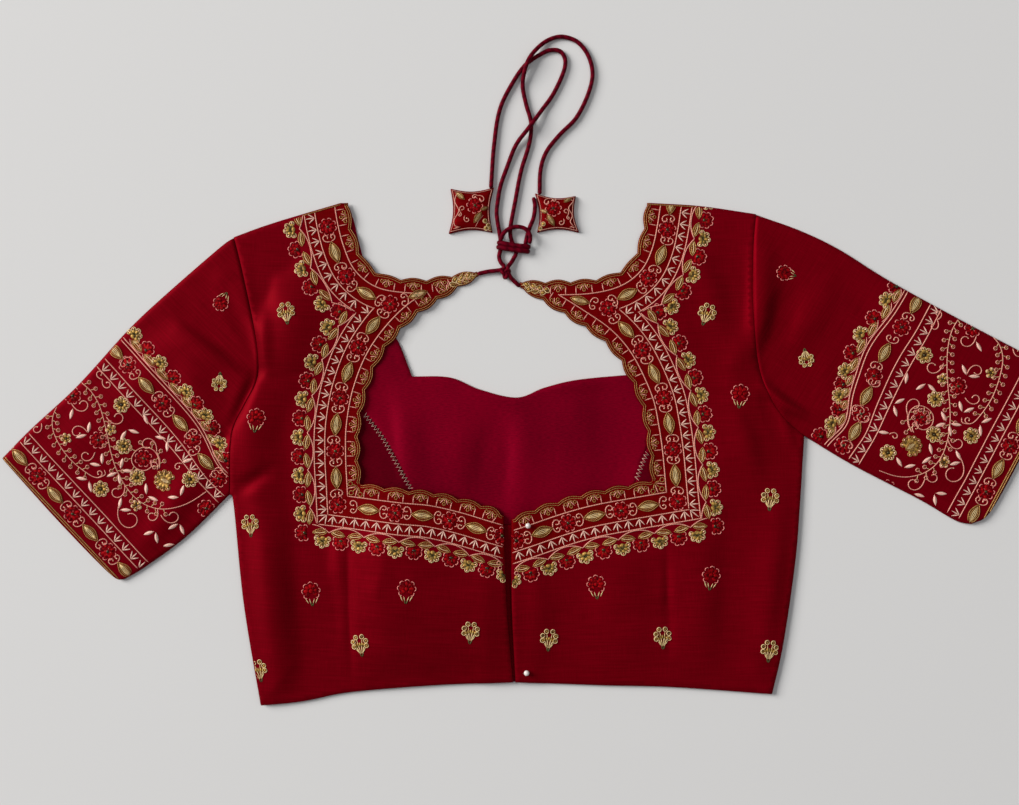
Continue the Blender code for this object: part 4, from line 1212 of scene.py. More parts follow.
def draw_berries(pen, line, sides):
    """Looped berries on stalks, on the given sides of a stem in turn."""
    place = travelled(line)
    stations = np.arange(BERRY_PITCH * 0.6, place[-1] - 1.5, BERRY_PITCH / len(sides))
    for number, s in enumerate(stations):
        origin, out = read(s, place, line), read(s, place, left_of(line))
        tip = origin + (out * sides[number % len(sides)] - quarter_left(out) * 0.5) * BERRY_REACH
        near = origin + (tip - origin) * 0.68
        pen.thread("straw", [origin, (origin + near) / 2, near], 0.65)
        pen.ring("pale", tip, 1.35)
        pen.dome("gold_bead", tip, (0.6, 0.6), high=0.4, sides=6)


def draw_paisley(pen):
    """The large gold bloom of the vine: a fan of loops round a bright heart."""
    draw_petals(pen, 9, 1.7 * math.pi, 6.2, 1.7, "gold_bead", "gold", "pale_bead")
    draw_gold_leaf(pen.turned(math.pi / 2, (0, -0.5)), 9.5, 5.6)
    pen.thread("gold", arc((0, 0), 4.3, 0.2, math.pi * 2 + 0.2), 0.7)


# ---- The back ----
DARTS = (((-138.8, -73.5), (-135.8, -171.0)), ((99.8, -69.8), (102.0, -172.5)))
DART_LINES = (-2.2, -1.0, 0.0, 1.0, 2.2)


def edge(points):
    return smooth(points, EDGE_STEP)


def silk_top(x, y):
    return SILK(x, y) + WALL


def dart_lines():
    """Lines of points along each dart, so that its groove is sharp."""
    lines = []
    for start, end in DARTS:
        line = spread([start, end], 40)
        lines += [line + (offset, 0.0) for offset in DART_LINES]
    return lines


def back_outline(half):
    return joined(
        edge(half.shoulder), edge(half.armhole), edge(half.side), edge(half.hem)[::-1],
        edge(half.centre)[::-1], scalloped(half.low, half.hand)[::-1],
        scalloped(half.keyhole, half.hand)[::-1], scalloped(half.neck, -half.hand))


LEFT.back, RIGHT.back = back_outline(LEFT), back_outline(RIGHT)
LEFT.border = Border(LEFT, (-20.0, -43.2), (2.5, 3.0), (-2.5, 15.2, -4.5))
RIGHT.border = Border(RIGHT, (-15.4, -46.6), (6.6, 12.0), (-4.6, 14.1, -4.5))


def back_panel(name, half):
    plan, triangles = filled(half.back, CELL, dart_lines())
    panel = shell(f"silk_back_{name}", plan, triangles, silk_top(*plan.T), WALL,
                  [SILK_RED, LINING], "crimson_silk", [f"back_{name}"],
                  grain=grain_of(plan, (0.999, -0.03 * half.hand)),
                  edge=half.border.depth(*plan.T))


def plain(plan):
    """The edge values of silk without a border."""
    return np.full(len(plan), NO_BORDER)


def placket():
    left, right = PLACKET_MIDDLE - PLACKET_HALF, PLACKET_MIDDLE + PLACKET_HALF
    corners = ((left, PLACKET_TOP), (left, PLACKET_END), (right, PLACKET_END),
               (right, PLACKET_TOP))
    outline = joined(*(spread([a, b], max(2, round(math.dist(a, b) / CELL)))
                       for a, b in zip(corners, corners[1:] + corners[:1])))
    plan, triangles = filled(outline, CELL)
    top = np.full(len(plan), LAYER_REST + PLACKET_WALL)
    strip = shell("silk_placket", plan, triangles, top, PLACKET_WALL, [SILK_RED, LINING],
                  "crimson_silk", ["back_placket"], grain=grain_of(plan, (1.0, 0.0)),
                  edge=plain(plan))


# ---- The front, seen from its lining ----
def split_at(line, target):
    """The line up to its point nearest the target, and the line on from there."""
    nearest = int(np.argmin(np.linalg.norm(line - np.array(target), axis=1)))
    return line[:nearest + 1], line[nearest:]


def front_panel(name, outline, material, node, weft):
    plan, triangles = filled(outline, CELL)
    top = lining_top(*plan.T)
    return shell(name, plan, triangles, top, top, [material, SILK_RED], "wine_lining", [node],
                 grain=grain_of(plan, weft), edge=plain(plan))


def front_panels():
    """The middle panel and the two side panels, which meet at the princess seams."""
    inner = []
    for name, half in HALVES.items():
        high, low = split_at(edge(half.armhole), half.princess[0])
        seam = smooth((tuple(low[0]), *half.princess[1:]), EDGE_STEP)
        aside = left_of(seam) * SEAM_GAP / 2 * half.hand
        hem = edge(half.hem)[::-1]
        past_seam = (hem[:, 0] - seam[-1][0]) * half.hand
        shoulder = edge(half.shoulder)
        past_strap = (shoulder[:, 0] - half.strap[0][0]) * half.hand
        inner.append(np.vstack([shoulder[past_strap < -2], high[:-1], seam + aside,
                                hem[past_seam > 2]]))
        outline = joined(low[1:], edge(half.side), hem[past_seam < -2], (seam - aside)[::-1])
        # the side panels take the darker lining, painted shade under the keyhole's edge
        panel = front_panel(f"lining_side_{name}", outline, LINING_PAINTED_SHADE, f"front_side_{name}",
                            (0.97, 0.24 * half.hand))
    centre = joined(inner[0], inner[1][::-1], edge(RIGHT.strap), edge(FRONT_NECK)[::-1],
                    edge(LEFT.strap)[::-1])
    front_panel("lining_centre", centre, LINING, "front_centre", (1.0, 0.0))


# ---- The sleeves: flattened tubes ----
SLEEVE_ROWS = 76
SLEEVE_COLUMNS = 56
SLEEVE_MIDDLE = (2 * WALL + SEAM_GAP) / 2       # height of its two folded edges
NOSE = 4.5                  # how far in from a folded edge the cloth rounds over
NOSE_STEPS = (0.0, 0.03, 0.12, 0.27, 0.46, 0.7, 1.0)


class Sleeve:
    """Lines and heights of one sleeve, from the armhole to the cuff."""

    def __init__(self, half):
        line = edge(half.armhole)
        self.hand = half.hand
        self.armhole = line - left_of(line) * SEAM_GAP * half.hand
        self.cuff = edge(half.cuff)
        self.outer = smooth((tuple(self.armhole[0]), *half.outer[1:]), EDGE_STEP)
        self.under = smooth((tuple(self.armhole[-1]), *half.under[1:]), EDGE_STEP)
        self.outline = joined(self.armhole, self.under, self.cuff[::-1], self.outer[::-1])
        self.folds = [self.outer[::2], self.under[::2]]
        self.inward = quarter_left(unit(self.cuff[-1] - self.cuff[0])) * half.hand

    def point(self, s, t):
        """Plan point at a fraction along the sleeve and fractions across it."""
        ends = (1 - s) * along(self.armhole, t) + s * along(self.cuff, t)
        t = np.asarray(t)[:, None]
        sides = (1 - t) * along(self.outer, [s]) + t * along(self.under, [s])
        corners = ((1 - s) * ((1 - t) * self.armhole[0] + t * self.armhole[-1])
                   + s * ((1 - t) * self.cuff[0] + t * self.cuff[-1]))
        return ends + sides - corners

    def top(self, x, y):
        """Height of the upper side, rounded down to the folded edges."""
        share = rounding(distance_from(self.folds, x, y) / NOSE)
        return SLEEVE_MIDDLE + (silk_top(x, y) - SLEEVE_MIDDLE) * share


def rounding(reach):
    """Share of the full height, in a quarter of a circle that is full at a reach of 1."""
    return np.sqrt(1 - (1 - np.clip(reach, 0, 1)) ** 2)


def sleeve_rings(sleeve, inset, lift):
    """Rows of closed sections; inset and lift make the inner skin a wall inside the outer."""
    rows = []
    nose = NOSE - inset
    for s in np.linspace(0, 1, SLEEVE_ROWS + 1):
        width = np.linalg.norm(sleeve.point(s, [1.0]) - sleeve.point(s, [0.0]))
        near = (inset + np.array(NOSE_STEPS) * nose) / width
        middle = np.linspace(near[-1], 1 - near[-1], SLEEVE_COLUMNS)[1:-1]
        t = np.concatenate([near, middle, 1 - near[::-1]])
        share = rounding((np.minimum(t, 1 - t) * width - inset) / nose)
        plan = sleeve.point(s, t)
        upper, lower = (np.column_stack([plan, SLEEVE_MIDDLE + (z - SLEEVE_MIDDLE) * share])
                        for z in (silk_top(*plan.T) - lift, lift))
        rows.append(np.vstack([upper, lower[-2:0:-1]]))
    return rows


def sleeve_piece(name, sleeve):
    """The outer and the inner skin, joined at the armhole and at the cuff."""
    rings = sleeve_rings(sleeve, 0.0, 0.0) + sleeve_rings(sleeve, WALL * 0.8, WALL)[::-1]
    count = len(rings[0])
    points = np.vstack(rings)
    faces = skin(len(rings), count, loop_rows=True)[:, ::-sleeve.hand]
    inner = np.repeat(np.arange(len(rings)) >= SLEEVE_ROWS + 1, count)
    inner[-count:] = False
    across = quarter_left(sleeve.inward)
    piece = make_piece(f"silk_sleeve_{name}", points, faces, [SILK_RED, LINING], "crimson_silk",
                       [f"sleeve_{name}"], inner, grain=grain_of(points[:, :2], across),
                       edge=plain(points))


LEFT.sleeve, RIGHT.sleeve = Sleeve(LEFT), Sleeve(RIGHT)


# ---- Ties, knot, tassels and pins ----
def tube(name, path, radius, replaces=(), sides=14, looped=False):
    """A round cord along a path of points, with softly rounded ends."""
    path = np.asarray(path, float)
    heading = unit(np.roll(path, -1, axis=0) - np.roll(path, 1, axis=0) if looped
                   else np.gradient(path, axis=0))
    side = np.cross(heading, (0.0, 0.0, 1.0))
    side[np.linalg.norm(side, axis=1) < 0.2] = (1.0, 0.0, 0.0)
    side = unit(side - (side * heading).sum(axis=1)[:, None] * heading)
    over = np.cross(side, heading)
    rows = len(path)
    size = np.full(rows, radius)
    angle = -math.pi / 2 + 2 * math.pi * np.arange(sides) / sides
    place = travelled(path) * MM
    run = np.column_stack([np.repeat(place, sides), np.tile(angle, rows), np.zeros(rows * sides)])
    if not looped:
        size[[0, -1]] *= CORD_END
    ring = [path + (side * math.cos(a) + over * math.sin(a)) * size[:, None] for a in angle]
    points = np.stack(ring, axis=1).reshape(-1, 3)
    points[:, 2] = np.maximum(points[:, 2], CLEAR_OF_TABLE)
    if looped:
        faces = halved(skin(rows, sides, loop_rows=True))
    else:
        points = np.vstack([points, path[0], path[-1]])
        run = np.vstack([run, np.zeros(3), (place[-1], 0.0, 0.0)])
        faces = capped(rows, sides)
    return make_piece(name, points, faces, [CORD], "wine_cord", replaces, run=run)


def tie(name, route, replaces, pieces):
    """A cord along the route."""
    path = smooth([(*point, CORD_LIE)[:3] for point in route], 1.5)
    path[:, 2] = np.maximum(path[:, 2], CORD_LIE)
    cord = tube(name, path, CORD_DIAMETER / 2, replaces)


def knot():
    """The two ties pulled round each other once."""
    t = 2 * math.pi * np.arange(60) / 60
    path = np.column_stack([1.25 * (np.sin(t) + 1.5 * np.sin(2 * t)),
                            1.45 * (np.cos(t) - 1.5 * np.cos(2 * t)), -1.15 * np.sin(3 * t)])
    return tube("tie_knot", path + KNOT_CENTRE, 1.35, ["cord_knot"], sides=12, looped=True)


def keeper_pieces():
    """Turns of cord that lie across the ties and hold them together."""
    half = KEEPER_LONG / 2 - 2.6
    high = KEEPER_HIGH - 1.6
    reach = np.array([-half, -half + 0.6, -half + 3.5, -half * 0.4, half * 0.4, half - 3.5,
                      half - 0.6, half])
    lift = np.array([1.5, 3.0, high, high, high, high, 3.0, 1.5])
    made = []
    for number, offset in enumerate((-1.7, 1.6), 1):
        bent = offset - 0.5 * np.cos(math.pi * reach / half / 2)
        plan = KEEPER_CENTRE + np.column_stack([reach, bent]) @ turn_of(KEEPER_TILT)
        path = smooth(np.column_stack([plan, lift]), 0.9)
        replaces = ["cord_keeper"] if number == 1 else []
        made.append(tube(f"tie_keeper_{number}", path, 1.9, replaces, sides=12))
    return made


def tassel_outline(corners):
    """A square whose sides curve in, in small steps."""
    t = np.arange(24)[:, None] / 24
    corners = np.array(corners)
    dip = TASSEL_SIDE_DIP * np.sin(math.pi * t)
    return np.vstack([start + t * (end - start) - dip * quarter_left(unit(end - start))
                      for start, end in zip(corners, np.roll(corners, -1, axis=0))])


class Tassel:
    """One padded square: its outline and the height of its upper side."""

    def __init__(self, corners):
        self.outline = tassel_outline(corners)
        self.centre = self.outline.mean(axis=0)

    def top(self, x, y):
        share = rounding(distance_from([closed(self.outline)], x, y) / TASSEL_NOSE)
        return TASSEL_RIM + (TASSEL_HEIGHT - TASSEL_RIM) * share

    def piece(self, name, node):
        plan, triangles = filled(self.outline, 1.6)
        top = self.top(*plan.T)
        # edge 0: the whole square takes the border's ground, more orange and darker as painted
        # shade
        made = shell(name, plan, triangles, top, top, [SILK_RED], "crimson_silk", [node],
                     grain=grain_of(plan, (1.0, 0.0), self.centre), edge=np.zeros(len(plan)))
        return made


LEFT.tassel, RIGHT.tassel = Tassel(TASSEL_LEFT), Tassel(TASSEL_RIGHT)
PINS = (("pin_top", "pin_head_top", -3.8, -53.2), ("pin_bottom", "pin_head_bottom", -4.9, -163.0))


def pin_head(name, node, x, y):
    """A pearl ball that lies on the silk."""
    radius = PIN_HEAD / 2
    high = float(silk_top(x, y)) + SEAM_GAP + radius
    rows, sides = 20, 32
    polar = math.pi * (np.arange(rows) + 0.5) / rows
    turn = way_of(2 * math.pi * np.arange(sides) / sides)
    ring = np.column_stack([(np.sin(polar)[:, None, None] * turn).reshape(-1, 2),
                            np.repeat(np.cos(polar), sides)])
    points = np.vstack([ring, [[0, 0, 1], [0, 0, -1]]]) * radius + (x, y, high)
    make_piece(name, points, capped(rows, sides)[:, ::-1], [PEARL], "pearl", [node])


# ---- Embroidery of the neck borders: depths are measured from the neck or keyhole edge ----
EDGE_LINES = (0.5, 2.0)     # the thin gold double line inside the scallops
LINES = (10.0, 25.5, 33.5)
LINE_WIDTH = 0.9
BAND_MIDDLE = 17.75         # red flowers and gold leaves by turns
BAND_PITCH = 19.8
BAND_PITCH_LOW = 20.4
LOW_BAND_START = 2.4
FEET = (26.3, 8.5)          # depth of the apexes, and pitch
VINE_DEPTH = 38.8           # where the vine swings out to a gold flower
VINE_RISE = 4.6             # and how far it falls back to the border at a red one
LEAF_TILT = 0.16
TIP_LEAF = (22.0, 15.0, 6.2)         # from the mitre's flower; long and wide
SIDE_FRINGE_END = -3.0
FRINGE = (44.6, 14.3)       # depth and pitch of the outermost flowers
SHOULDER_STITCHES = 36.0


def scallop_work(work, points, inward):
    """The double line along one scalloped edge, and what stands in each scallop."""
    base, swell = scallop_swell(points)
    into = inward * left_of(base)
    for inset in EDGE_LINES:
        work.thread("gold", base - into * (swell - inset)[:, None], 0.5, free=True)
    for start in range(0, len(base) - 1, SCALLOP_STEPS):
        middle = start + SCALLOP_STEPS // 2
        way = into[middle]
        draw_edge_fan(Pen(work, base[middle] + way * 1.9, -quarter_left(way), way))
        for place in (start + 2, start + SCALLOP_STEPS - 2):
            way = into[place]
            Pen(work).stitch("pale", base[place] + way * 3.8, base[place] + way * 9.6, 0.95)


def line_work(work, border):
    for depth in LINES:
        for which in range(3):
            rail = border.rail(which, depth, 0.3)
            work.thread("pale", spread(rail.line, max(2, round(rail.length / 2.2))), LINE_WIDTH)


def band_motif(pen, number):
    """Flowers and leaves by turns: even numbers are flowers."""
    if number % 2 == 0:
        draw_red_flower(pen)
    else:
        draw_gold_leaf(pen)
        draw_tip_curls(pen, -1)
        draw_tip_curls(pen, 1)


def main_band(work, border):
    """A flower at the mitre, and leaves and flowers by turns along the three edges."""
    neck, side, low = (border.rail(which, BAND_MIDDLE, 0.2) for which in range(3))
    neck_start, side_start = border.band
    tip = (border.edges[0][0] + border.edges[1][0]) / 2
    ahead = unit(tip - side.at(0)[0])
    mitre = Pen(work, side.at(0)[0] - ahead * side_start, ahead, quarter_left(ahead))
    draw_red_flower(mitre)
    tip_work(mitre, np.linalg.norm(tip - mitre.origin))
    steps = 2 * max(1, round(side.length / BAND_PITCH / 2))
    side_pitch = (side.length - side_start) / steps
    for rail, start, pitch, past in ((side, side_start, side_pitch, side_pitch / 2),
                                     (neck, neck_start, BAND_PITCH, 6.0),
                                     (low, LOW_BAND_START, BAND_PITCH_LOW, 4.0)):
        stations = np.arange(start + pitch, rail.length + past, pitch)
        for number, s in enumerate(stations, 1):
            band_motif(Pen(work, *rail.at(s)), number)


def tip_work(mitre, reach):
    """The wedge where the neck and keyhole borders run together to the tie."""
    leaf = mitre.turned(0.0, (TIP_LEAF[0], 0.0))
    draw_gold_leaf(leaf, *TIP_LEAF[1:])
    draw_tip_curls(leaf, -1, TIP_LEAF[1])
    for number, distance in enumerate(np.arange(reach - 20.0, reach - 1.5, 2.6)):
        lean = 0.6 if number % 2 else -0.6
        petal = mitre.turned(lean, (distance, lean * 2.4))
        petal.dome("gold_bead", (0, 0), (1.9, 1.0), 0, 0.7)
        petal.thread("straw", arc((0, 0), 1.7, 0.4, 5.9) * (1.5, 1.0), 0.7)


def feet_work(work, border):
    depth, pitch = FEET
    for which in range(3):
        rail = border.rail(which, depth, 0.5)
        for s in rail.stations(pitch):
            if which or s > pitch * 0.8:
                draw_bird_foot(Pen(work, *rail.at(s)))
    draw_bird_foot(Pen(work, *border.corner(depth, 0.5)), 8.2)


def fringe_stations(border, which, length):
    """Places of the outermost flowers along one rail; the first one is at a mitre."""
    pitch = FRINGE[1]
    neck_start, neck_pitch, side_start = border.fringe
    if which == 0:
        return neck_start + neck_pitch * np.arange(int(length / neck_pitch) + 2)
    if which == 1:
        steps = 2 * max(1, round(length / pitch / 2))
        return np.linspace(side_start, length + SIDE_FRINGE_END, steps + 1)
    return np.linspace(0, length, max(1, round(length / pitch)) + 1)


def fringe_flower(pen, number):
    (draw_fringe_gold if number % 2 else draw_fringe_red)(pen)


def fringe_work(work, border):
    """Flowers outside the border, red and gold by turns, and a vine with a leaf beside each."""
    for which in range(3):
        flowers = border.rail(which, FRINGE[0], -9.0)
        vine = border.rail(which, VINE_DEPTH, 0.3)
        places = fringe_stations(border, which, flowers.length)
        first = 0 if which == 1 else 1
        for number, s in enumerate(places[first:], first):
            fringe_flower(Pen(work, *flowers.at(s)), number)
        line = []
        share = vine.length / flowers.length
        for number, (start, end) in enumerate(zip(places[:-1], places[1:])):
            for t in np.arange(8) / 8:
                origin, _, inward = vine.at((start + (end - start) * t) * share)
                gold = 1 - t if number % 2 else t
                line.append(origin - inward * VINE_RISE * (1 - gold ** 2.2))
            leaf = Pen(work, *vine.at((start + end) / 2 * share))
            if which or number:
                draw_vine_leaf(leaf.turned(LEAF_TILT if number % 2 else -LEAF_TILT))
        work.thread("pale", line)


def shoulder_work(work, border):
    """A thin gold line over the ends of the border at the shoulder seam."""
    line = smooth(border.shoulder, 2.0)
    line = line[border.depth(*line.T) < SHOULDER_STITCHES]
    way = left_of(line)
    down = way * np.sign(-way[:, 1])[:, None]
    work.thread("gold", line + down * 0.8, 0.7, 0.6, free=True)


def corner_work(work, border):
    """A wide gold fan in the keyhole's low corner."""
    _, ahead, way = border.corner(2.5, 0.0)
    draw_edge_fan(Pen(work, border.edges[1][-1] + way * 2.2, ahead * 1.5, way * 1.5))


def border_work(work, border):
    for points, inward in zip(border.points, border.inward):
        scallop_work(work, points, inward)
    line_work(work, border)
    main_band(work, border)
    feet_work(work, border)
    fringe_work(work, border)
    shoulder_work(work, border)
    corner_work(work, border)


# ---- Sprigs scattered over the plain silk: place, lean in degrees, red or gold ----
LEFT.sprigs = ((-183.8, 105.8, 8, False), (-206.3, 25.5, -6, True), (-211.0, -52.5, 4, False),
               (-165.8, -104.3, 6, True), (-93.8, -101.3, -4, True), (-129.0, -141.8, 10, False),
               (-46.5, -132.0, -4, False), (-205.0, -161.0, 14, False))
RIGHT.sprigs = ((129.8, 105.0, -20, False), (154.5, 43.5, -6, True), (177.0, -33.0, -4, False),
                (47.3, -99.0, 4, True), (132.8, -92.3, -8, True), (12.0, -138.0, -5, False),
                (96.8, -136.5, 3, False), (176.5, -146.3, -6, False))
LEFT.sleeve_sprigs = ((-232.5, 114.0, 150, True), (-234.0, 53.3, 174, False))
RIGHT.sleeve_sprigs = ((189.0, 135.0, 76, True), (204.0, 71.3, 190, False))
SLEEVE_SPRIG_SIZE = 0.84
LEFT.rings = ((-24.6, -84.5), (-25.6, -81.0))       # loose ring sequins at the centre's corners
RIGHT.rings = ((-12.4, -88.6), (-11.2, -85.0))


def sprig_work(work, sprigs, size=1.0):
    for x, y, lean, red in sprigs:
        draw_butti(Pen(work).turned(math.radians(lean), (x, y), size), red)


# ---- Embroidery of the sleeves: u along the cuff from the outer fold, d up the sleeve ----
CUFF_LINES = ((0.6, "gold"), (2.2, "gold"), (18.3, "pale"), (27.4, "pale"), (98.8, "pale"),
              (107.2, "pale"), (125.6, "pale"), (128.0, "pale"))
# d, each u, and the first one's number: even ones are red flowers
CUFF_BAND_LOW = (10.3, [-10.5 + 19.3 * k for k in range(10)], 0)
LEFT.cuff_bands = (CUFF_BAND_LOW,
                   (116.6, (-0.4, 13.5, 34.6, 52.6, 72.3, 87.5, 106.3, 122.0), 1))
RIGHT.cuff_bands = (CUFF_BAND_LOW,
                    (116.6, (6.0, 27.0, 49.5, 68.5, 84.5, 98.0, 111.7, 125.0), 1))
CUFF_FRINGE = 135.0         # d of the outer flowers, whose u and first number follow
LEFT.cuff_fringe = ((0.6, 15.0, 29.4, 44.3, 58.5, 70.3, 81.4, 91.5, 103.6, 116.0), 1)
RIGHT.cuff_fringe = ((1.3, 14.0, 30.5, 45.8, 61.0, 75.1, 84.8, 93.3, 102.3, 114.7, 127.0), 0)
CUFF_FRINGE_VINE = 130.6
CUFF_FEET = ((19.2, 4.0), (99.6, 4.0))      # d of the apexes, and first u
CUFF_FOOT_PITCH = 9.0

STEM = ((-2, 82), (9, 83), (20, 81), (31, 76), (43, 69), (54, 62.5), (66, 57), (78, 54),
        (90, 53.5), (101, 56.5), (110, 63), (117, 73), (121, 84), (123, 98))
BRANCH = ((0, 56), (4.5, 48), (12, 42), (24, 38.4), (37, 37.3), (50, 38.9), (59, 42), (62, 48.5),
          (59, 50.5))
HOOK = ((76, 88.5), (82.1, 86), (86.4, 81.3), (81, 86), (73.5, 87.6), (67, 84), (64.8, 77),
        (67.5, 70.5), (74, 68.8), (80, 72.5), (81, 78.5), (77, 80.5))
CURLS = (           # u, d, heading in degrees, hand and length
    (8.6, 95.4, -146, -1, 14), (8.6, 95.4, -50, 1, 16), (5.9, 66.1, -11, 1, 26),
    (30.3, 60.5, 173, 1, 24), (31.3, 78.6, -7, 1, 26), (44.7, 54.4, -61, -1, 22),
    (77.6, 54.2, -41, -1, 25), (85.8, 40.1, -53, 1, 40), (107.2, 60.6, -27, -1, 21),
    (112.7, 59.4, -11, 1, 27), (76.0, 88.5, 137, 1, 27), (95.8, 97.8, -152, 1, 13),
    (85.9, 79.8, 124, 1, 14), (1.3, 39.5, -33, -1, 17), (59.7, 42.4, 60, 1, 12))
LEAF_PAIRS = (      # u, d, heading and half spread in degrees; 0 is a single leaf
    (8.7, 65.3, -57, 0), (31.4, 59.8, -174, 57), (55.7, 51.4, 177, 40), (48.5, 83.5, -22, 52),
    (57.4, 97.2, 159, 0), (74.3, 101.1, -94, 50), (56.4, 36.7, -87, 56), (67.4, 58.9, 84, 41),
    (67.3, 57.2, -73, 38), (94.8, 60.7, 83, 58), (113.0, 79.3, 174, 53), (88.2, 37.9, 86, 39),
    (118.5, 48.1, -75, 40), (135.8, 52.3, -123, 0), (94.3, 96.8, 67, 0), (126.3, 65.3, -63, 40))
GOLD_BLOOMS = ((32.4, 93.2), (67.6, 38.7), (80.0, 64.8), (108.1, 94.5), (56.0, 73.3))
SMALL_BLOOMS = ((94.9, 50.2), (40.5, 74.6), (22.5, 45.6))
RED_BLOOMS = ((39.8, 62.4), (72.7, 77.8), (2.1, 70.6), (131.9, 87.7))
HEART_BLOOM = (95.6, 78.6, 115)


class CuffFrame:
    """The sleeve's own axes on the plan, with its upper bands bent towards the cuff."""

    def __init__(self, corner, along_cuff, inward, stretch, sag, waves=(), slide=0.0):
        """sag and the waves (u, half width, share) move the upper bands, as shares of d.

        slide moves what lies inside the outer fold along the cuff.
        """
        self.corner = np.array(corner)
        self.along = np.array(along_cuff)
        self.inward = np.array(inward)
        self.stretch = stretch
        self.sag = sag
        self.waves = waves
        self.slide = slide

    def points(self, uv):
        u, d = np.atleast_2d(np.asarray(uv, float)).T
        u = u + self.slide * ease(u / 45)
        share = (self.stretch - 1) * ease(d / 40)
        for middle, half_width, height in self.waves:
            wave = np.exp(-((u - middle) / half_width) ** 2)
            share = share + height * wave * ease((d - 85) / 50)
        d = d * (1 + share) * (1 - self.sag * (u / 105) ** 2)
        return self.corner + u[:, None] * self.along + d[:, None] * self.inward

    def pen(self, work, u, d, heading=0.0):
        """A pen whose y axis is turned from straight up the sleeve by a heading in degrees."""
        place = Pen(work, self.points((u, d))[0], self.along, self.inward)
        return place.turned(math.radians(heading))


CUFF_AXES_LEFT = ((-397.2, -3.0), (0.683, -0.730), (0.730, 0.683))
CUFF_AXES_RIGHT = ((397.2, 60.0), (-0.4706, -0.8824), (-0.8824, 0.4706))
LEFT.cuff_frame = CuffFrame(*CUFF_AXES_LEFT, 1.0, 0.012, ((120, 26, -0.085),))
LEFT.vine_frame = LEFT.cuff_frame
RIGHT.cuff_frame = CuffFrame(*CUFF_AXES_RIGHT, 1.05, 0.0, ((52, 28, 0.05), (110, 16, -0.055)))
RIGHT.vine_frame = CuffFrame(*CUFF_AXES_RIGHT, 1.08, 0.11, slide=6.0)


def cuff_work(work, frame, bands, fringe):
    across = np.arange(-6.0, 170.0, 2.2)
    for d, finish in CUFF_LINES:
        line = frame.points(np.column_stack([across, np.full(len(across), d)]))
        work.thread(finish, line, LINE_WIDTH)
    for d, stations, first in bands:
        for number, u in enumerate(stations, first):
            band_motif(frame.pen(work, u, d), number)
    for d, first in CUFF_FEET:
        for u in np.arange(first, 160.0, CUFF_FOOT_PITCH):
            draw_bird_foot(frame.pen(work, u, d), 6.4, 0.6, 0.95)
    stations, first = fringe
    for number, u in enumerate(stations, first):
        fringe_flower(frame.pen(work, u, CUFF_FRINGE), number)
    t = np.linspace(-1, 1, 9)
    for start, end in zip(stations[:-1], stations[1:]):
        pen = frame.pen(work, (start + end) / 2, CUFF_FRINGE_VINE)
        arch = np.column_stack([t * (end - start) / 2, -2.2 * (1 - np.abs(t) ** 2.2)])
        pen.thread("pale", arch, 0.75)
        draw_vine_leaf(pen.turned(0.0, (0.0, 0.6)), min(11.6, (end - start) * 0.8))


def vine_work(work, frame):
    """The free vine between the bands: stem, branch and hook, with all that grows on them."""
    for route, sides in ((STEM, (1, -1)), (BRANCH, (1, -1)), (HOOK, (-1,))):
        line = frame.points(smooth(route, 1.2))
        work.thread("pale", line, 0.8)
        draw_berries(Pen(work), line[:int(len(line) * 0.8)], sides)
    for u, d, heading, hand, length in CURLS:
        draw_curl(frame.pen(work, u, d), (0, 0), math.radians(heading), hand, length)
    for u, d, heading, half_spread in LEAF_PAIRS:
        draw_leaf_pair(frame.pen(work, u, d, heading - 90), math.radians(half_spread))
    for place in GOLD_BLOOMS:
        draw_gold_flower(frame.pen(work, *place))
    for place in SMALL_BLOOMS:
        draw_gold_flower(frame.pen(work, *place), 4.2, 5)
    for place in RED_BLOOMS:
        draw_red_flower(frame.pen(work, *place), 6.6)
    draw_paisley(frame.pen(work, *HEART_BLOOM))


# ---- Embroidery of the tassels and stitching of the lining ----
# place, turn, length and width
TASSEL_LEAVES = (((4.6, -5.2), 1.0, 10.2, 3.8), ((9.6, 1.4), 0.4, 6.2, 2.6),
                 ((-8.4, 10.8), -0.72, 8.4, 3.6))
TASSEL_STALK = ((3.2, -12.0), (5.4, -7.6), (8.8, -3.8), (13.6, -1.8))
# place, heading, hand and length
TASSEL_CURLS = (((4.6, 11.0), 2.6, 1, 8.0), ((4.6, 11.0), 0.1, -1, 12.0),
                ((-8.2, -1.6), 2.0, -1, 10.0), ((-8.2, -1.6), -0.9, -1, 6.0),
                ((-5.0, -4.2), -1.9, 1, 10.0))
TASSEL_BEADS = ((10.2, -8.0), (12.8, -11.0), (11.0, -13.4), (14.0, -13.6))


def tassel_work(work, square, side):
    """side is 1 where the tassel's inner side is its right one, or -1."""
    ring = closed(square.outline) - square.centre
    work.thread("pale", square.centre + ring * 0.93, 0.45)
    outer = ring[ring[:, 0] * side < -11.0] * 0.8
    outer = outer[np.argsort(outer[:, 1])] + square.centre
    outer[:, 0] += np.sin(np.linspace(0, 5 * math.pi, len(outer))) * 1.3
    work.thread("pale", outer, 0.7)
    pen = Pen(work, square.centre, (side, 0.0))
    draw_red_flower(pen.turned(0.3, (2.6, 3.6)), 6.2)
    for place, turn, *size in TASSEL_LEAVES:
        draw_gold_leaf(pen.turned(turn, place), *size)
    pen.thread("pale", TASSEL_STALK, 0.7)
    for curl in TASSEL_CURLS:
        draw_curl(pen, *curl, 0.7)
    for place in TASSEL_BEADS:
        pen.ring("straw", place, 1.5)
        pen.dome("gold_bead", place, (1.2, 1.2), high=0.9)


def overlock_work(work, points):
    """A zigzag of thread over the raw edge of a lining seam."""
    line = smooth(points, 1.5)
    aside = left_of(line) * np.where(np.arange(len(line)) % 2, 1.7, -1.7)[:, None]
    work.thread("white", line + aside, 0.8)


# ---- The picture, in metres where nothing else is said ----
CAMERA_PLACE = (-17.6, 38.6, 1061.0)        # mm
FLOOR_REACH = 4
FLOOR_LEVEL = -0.0002


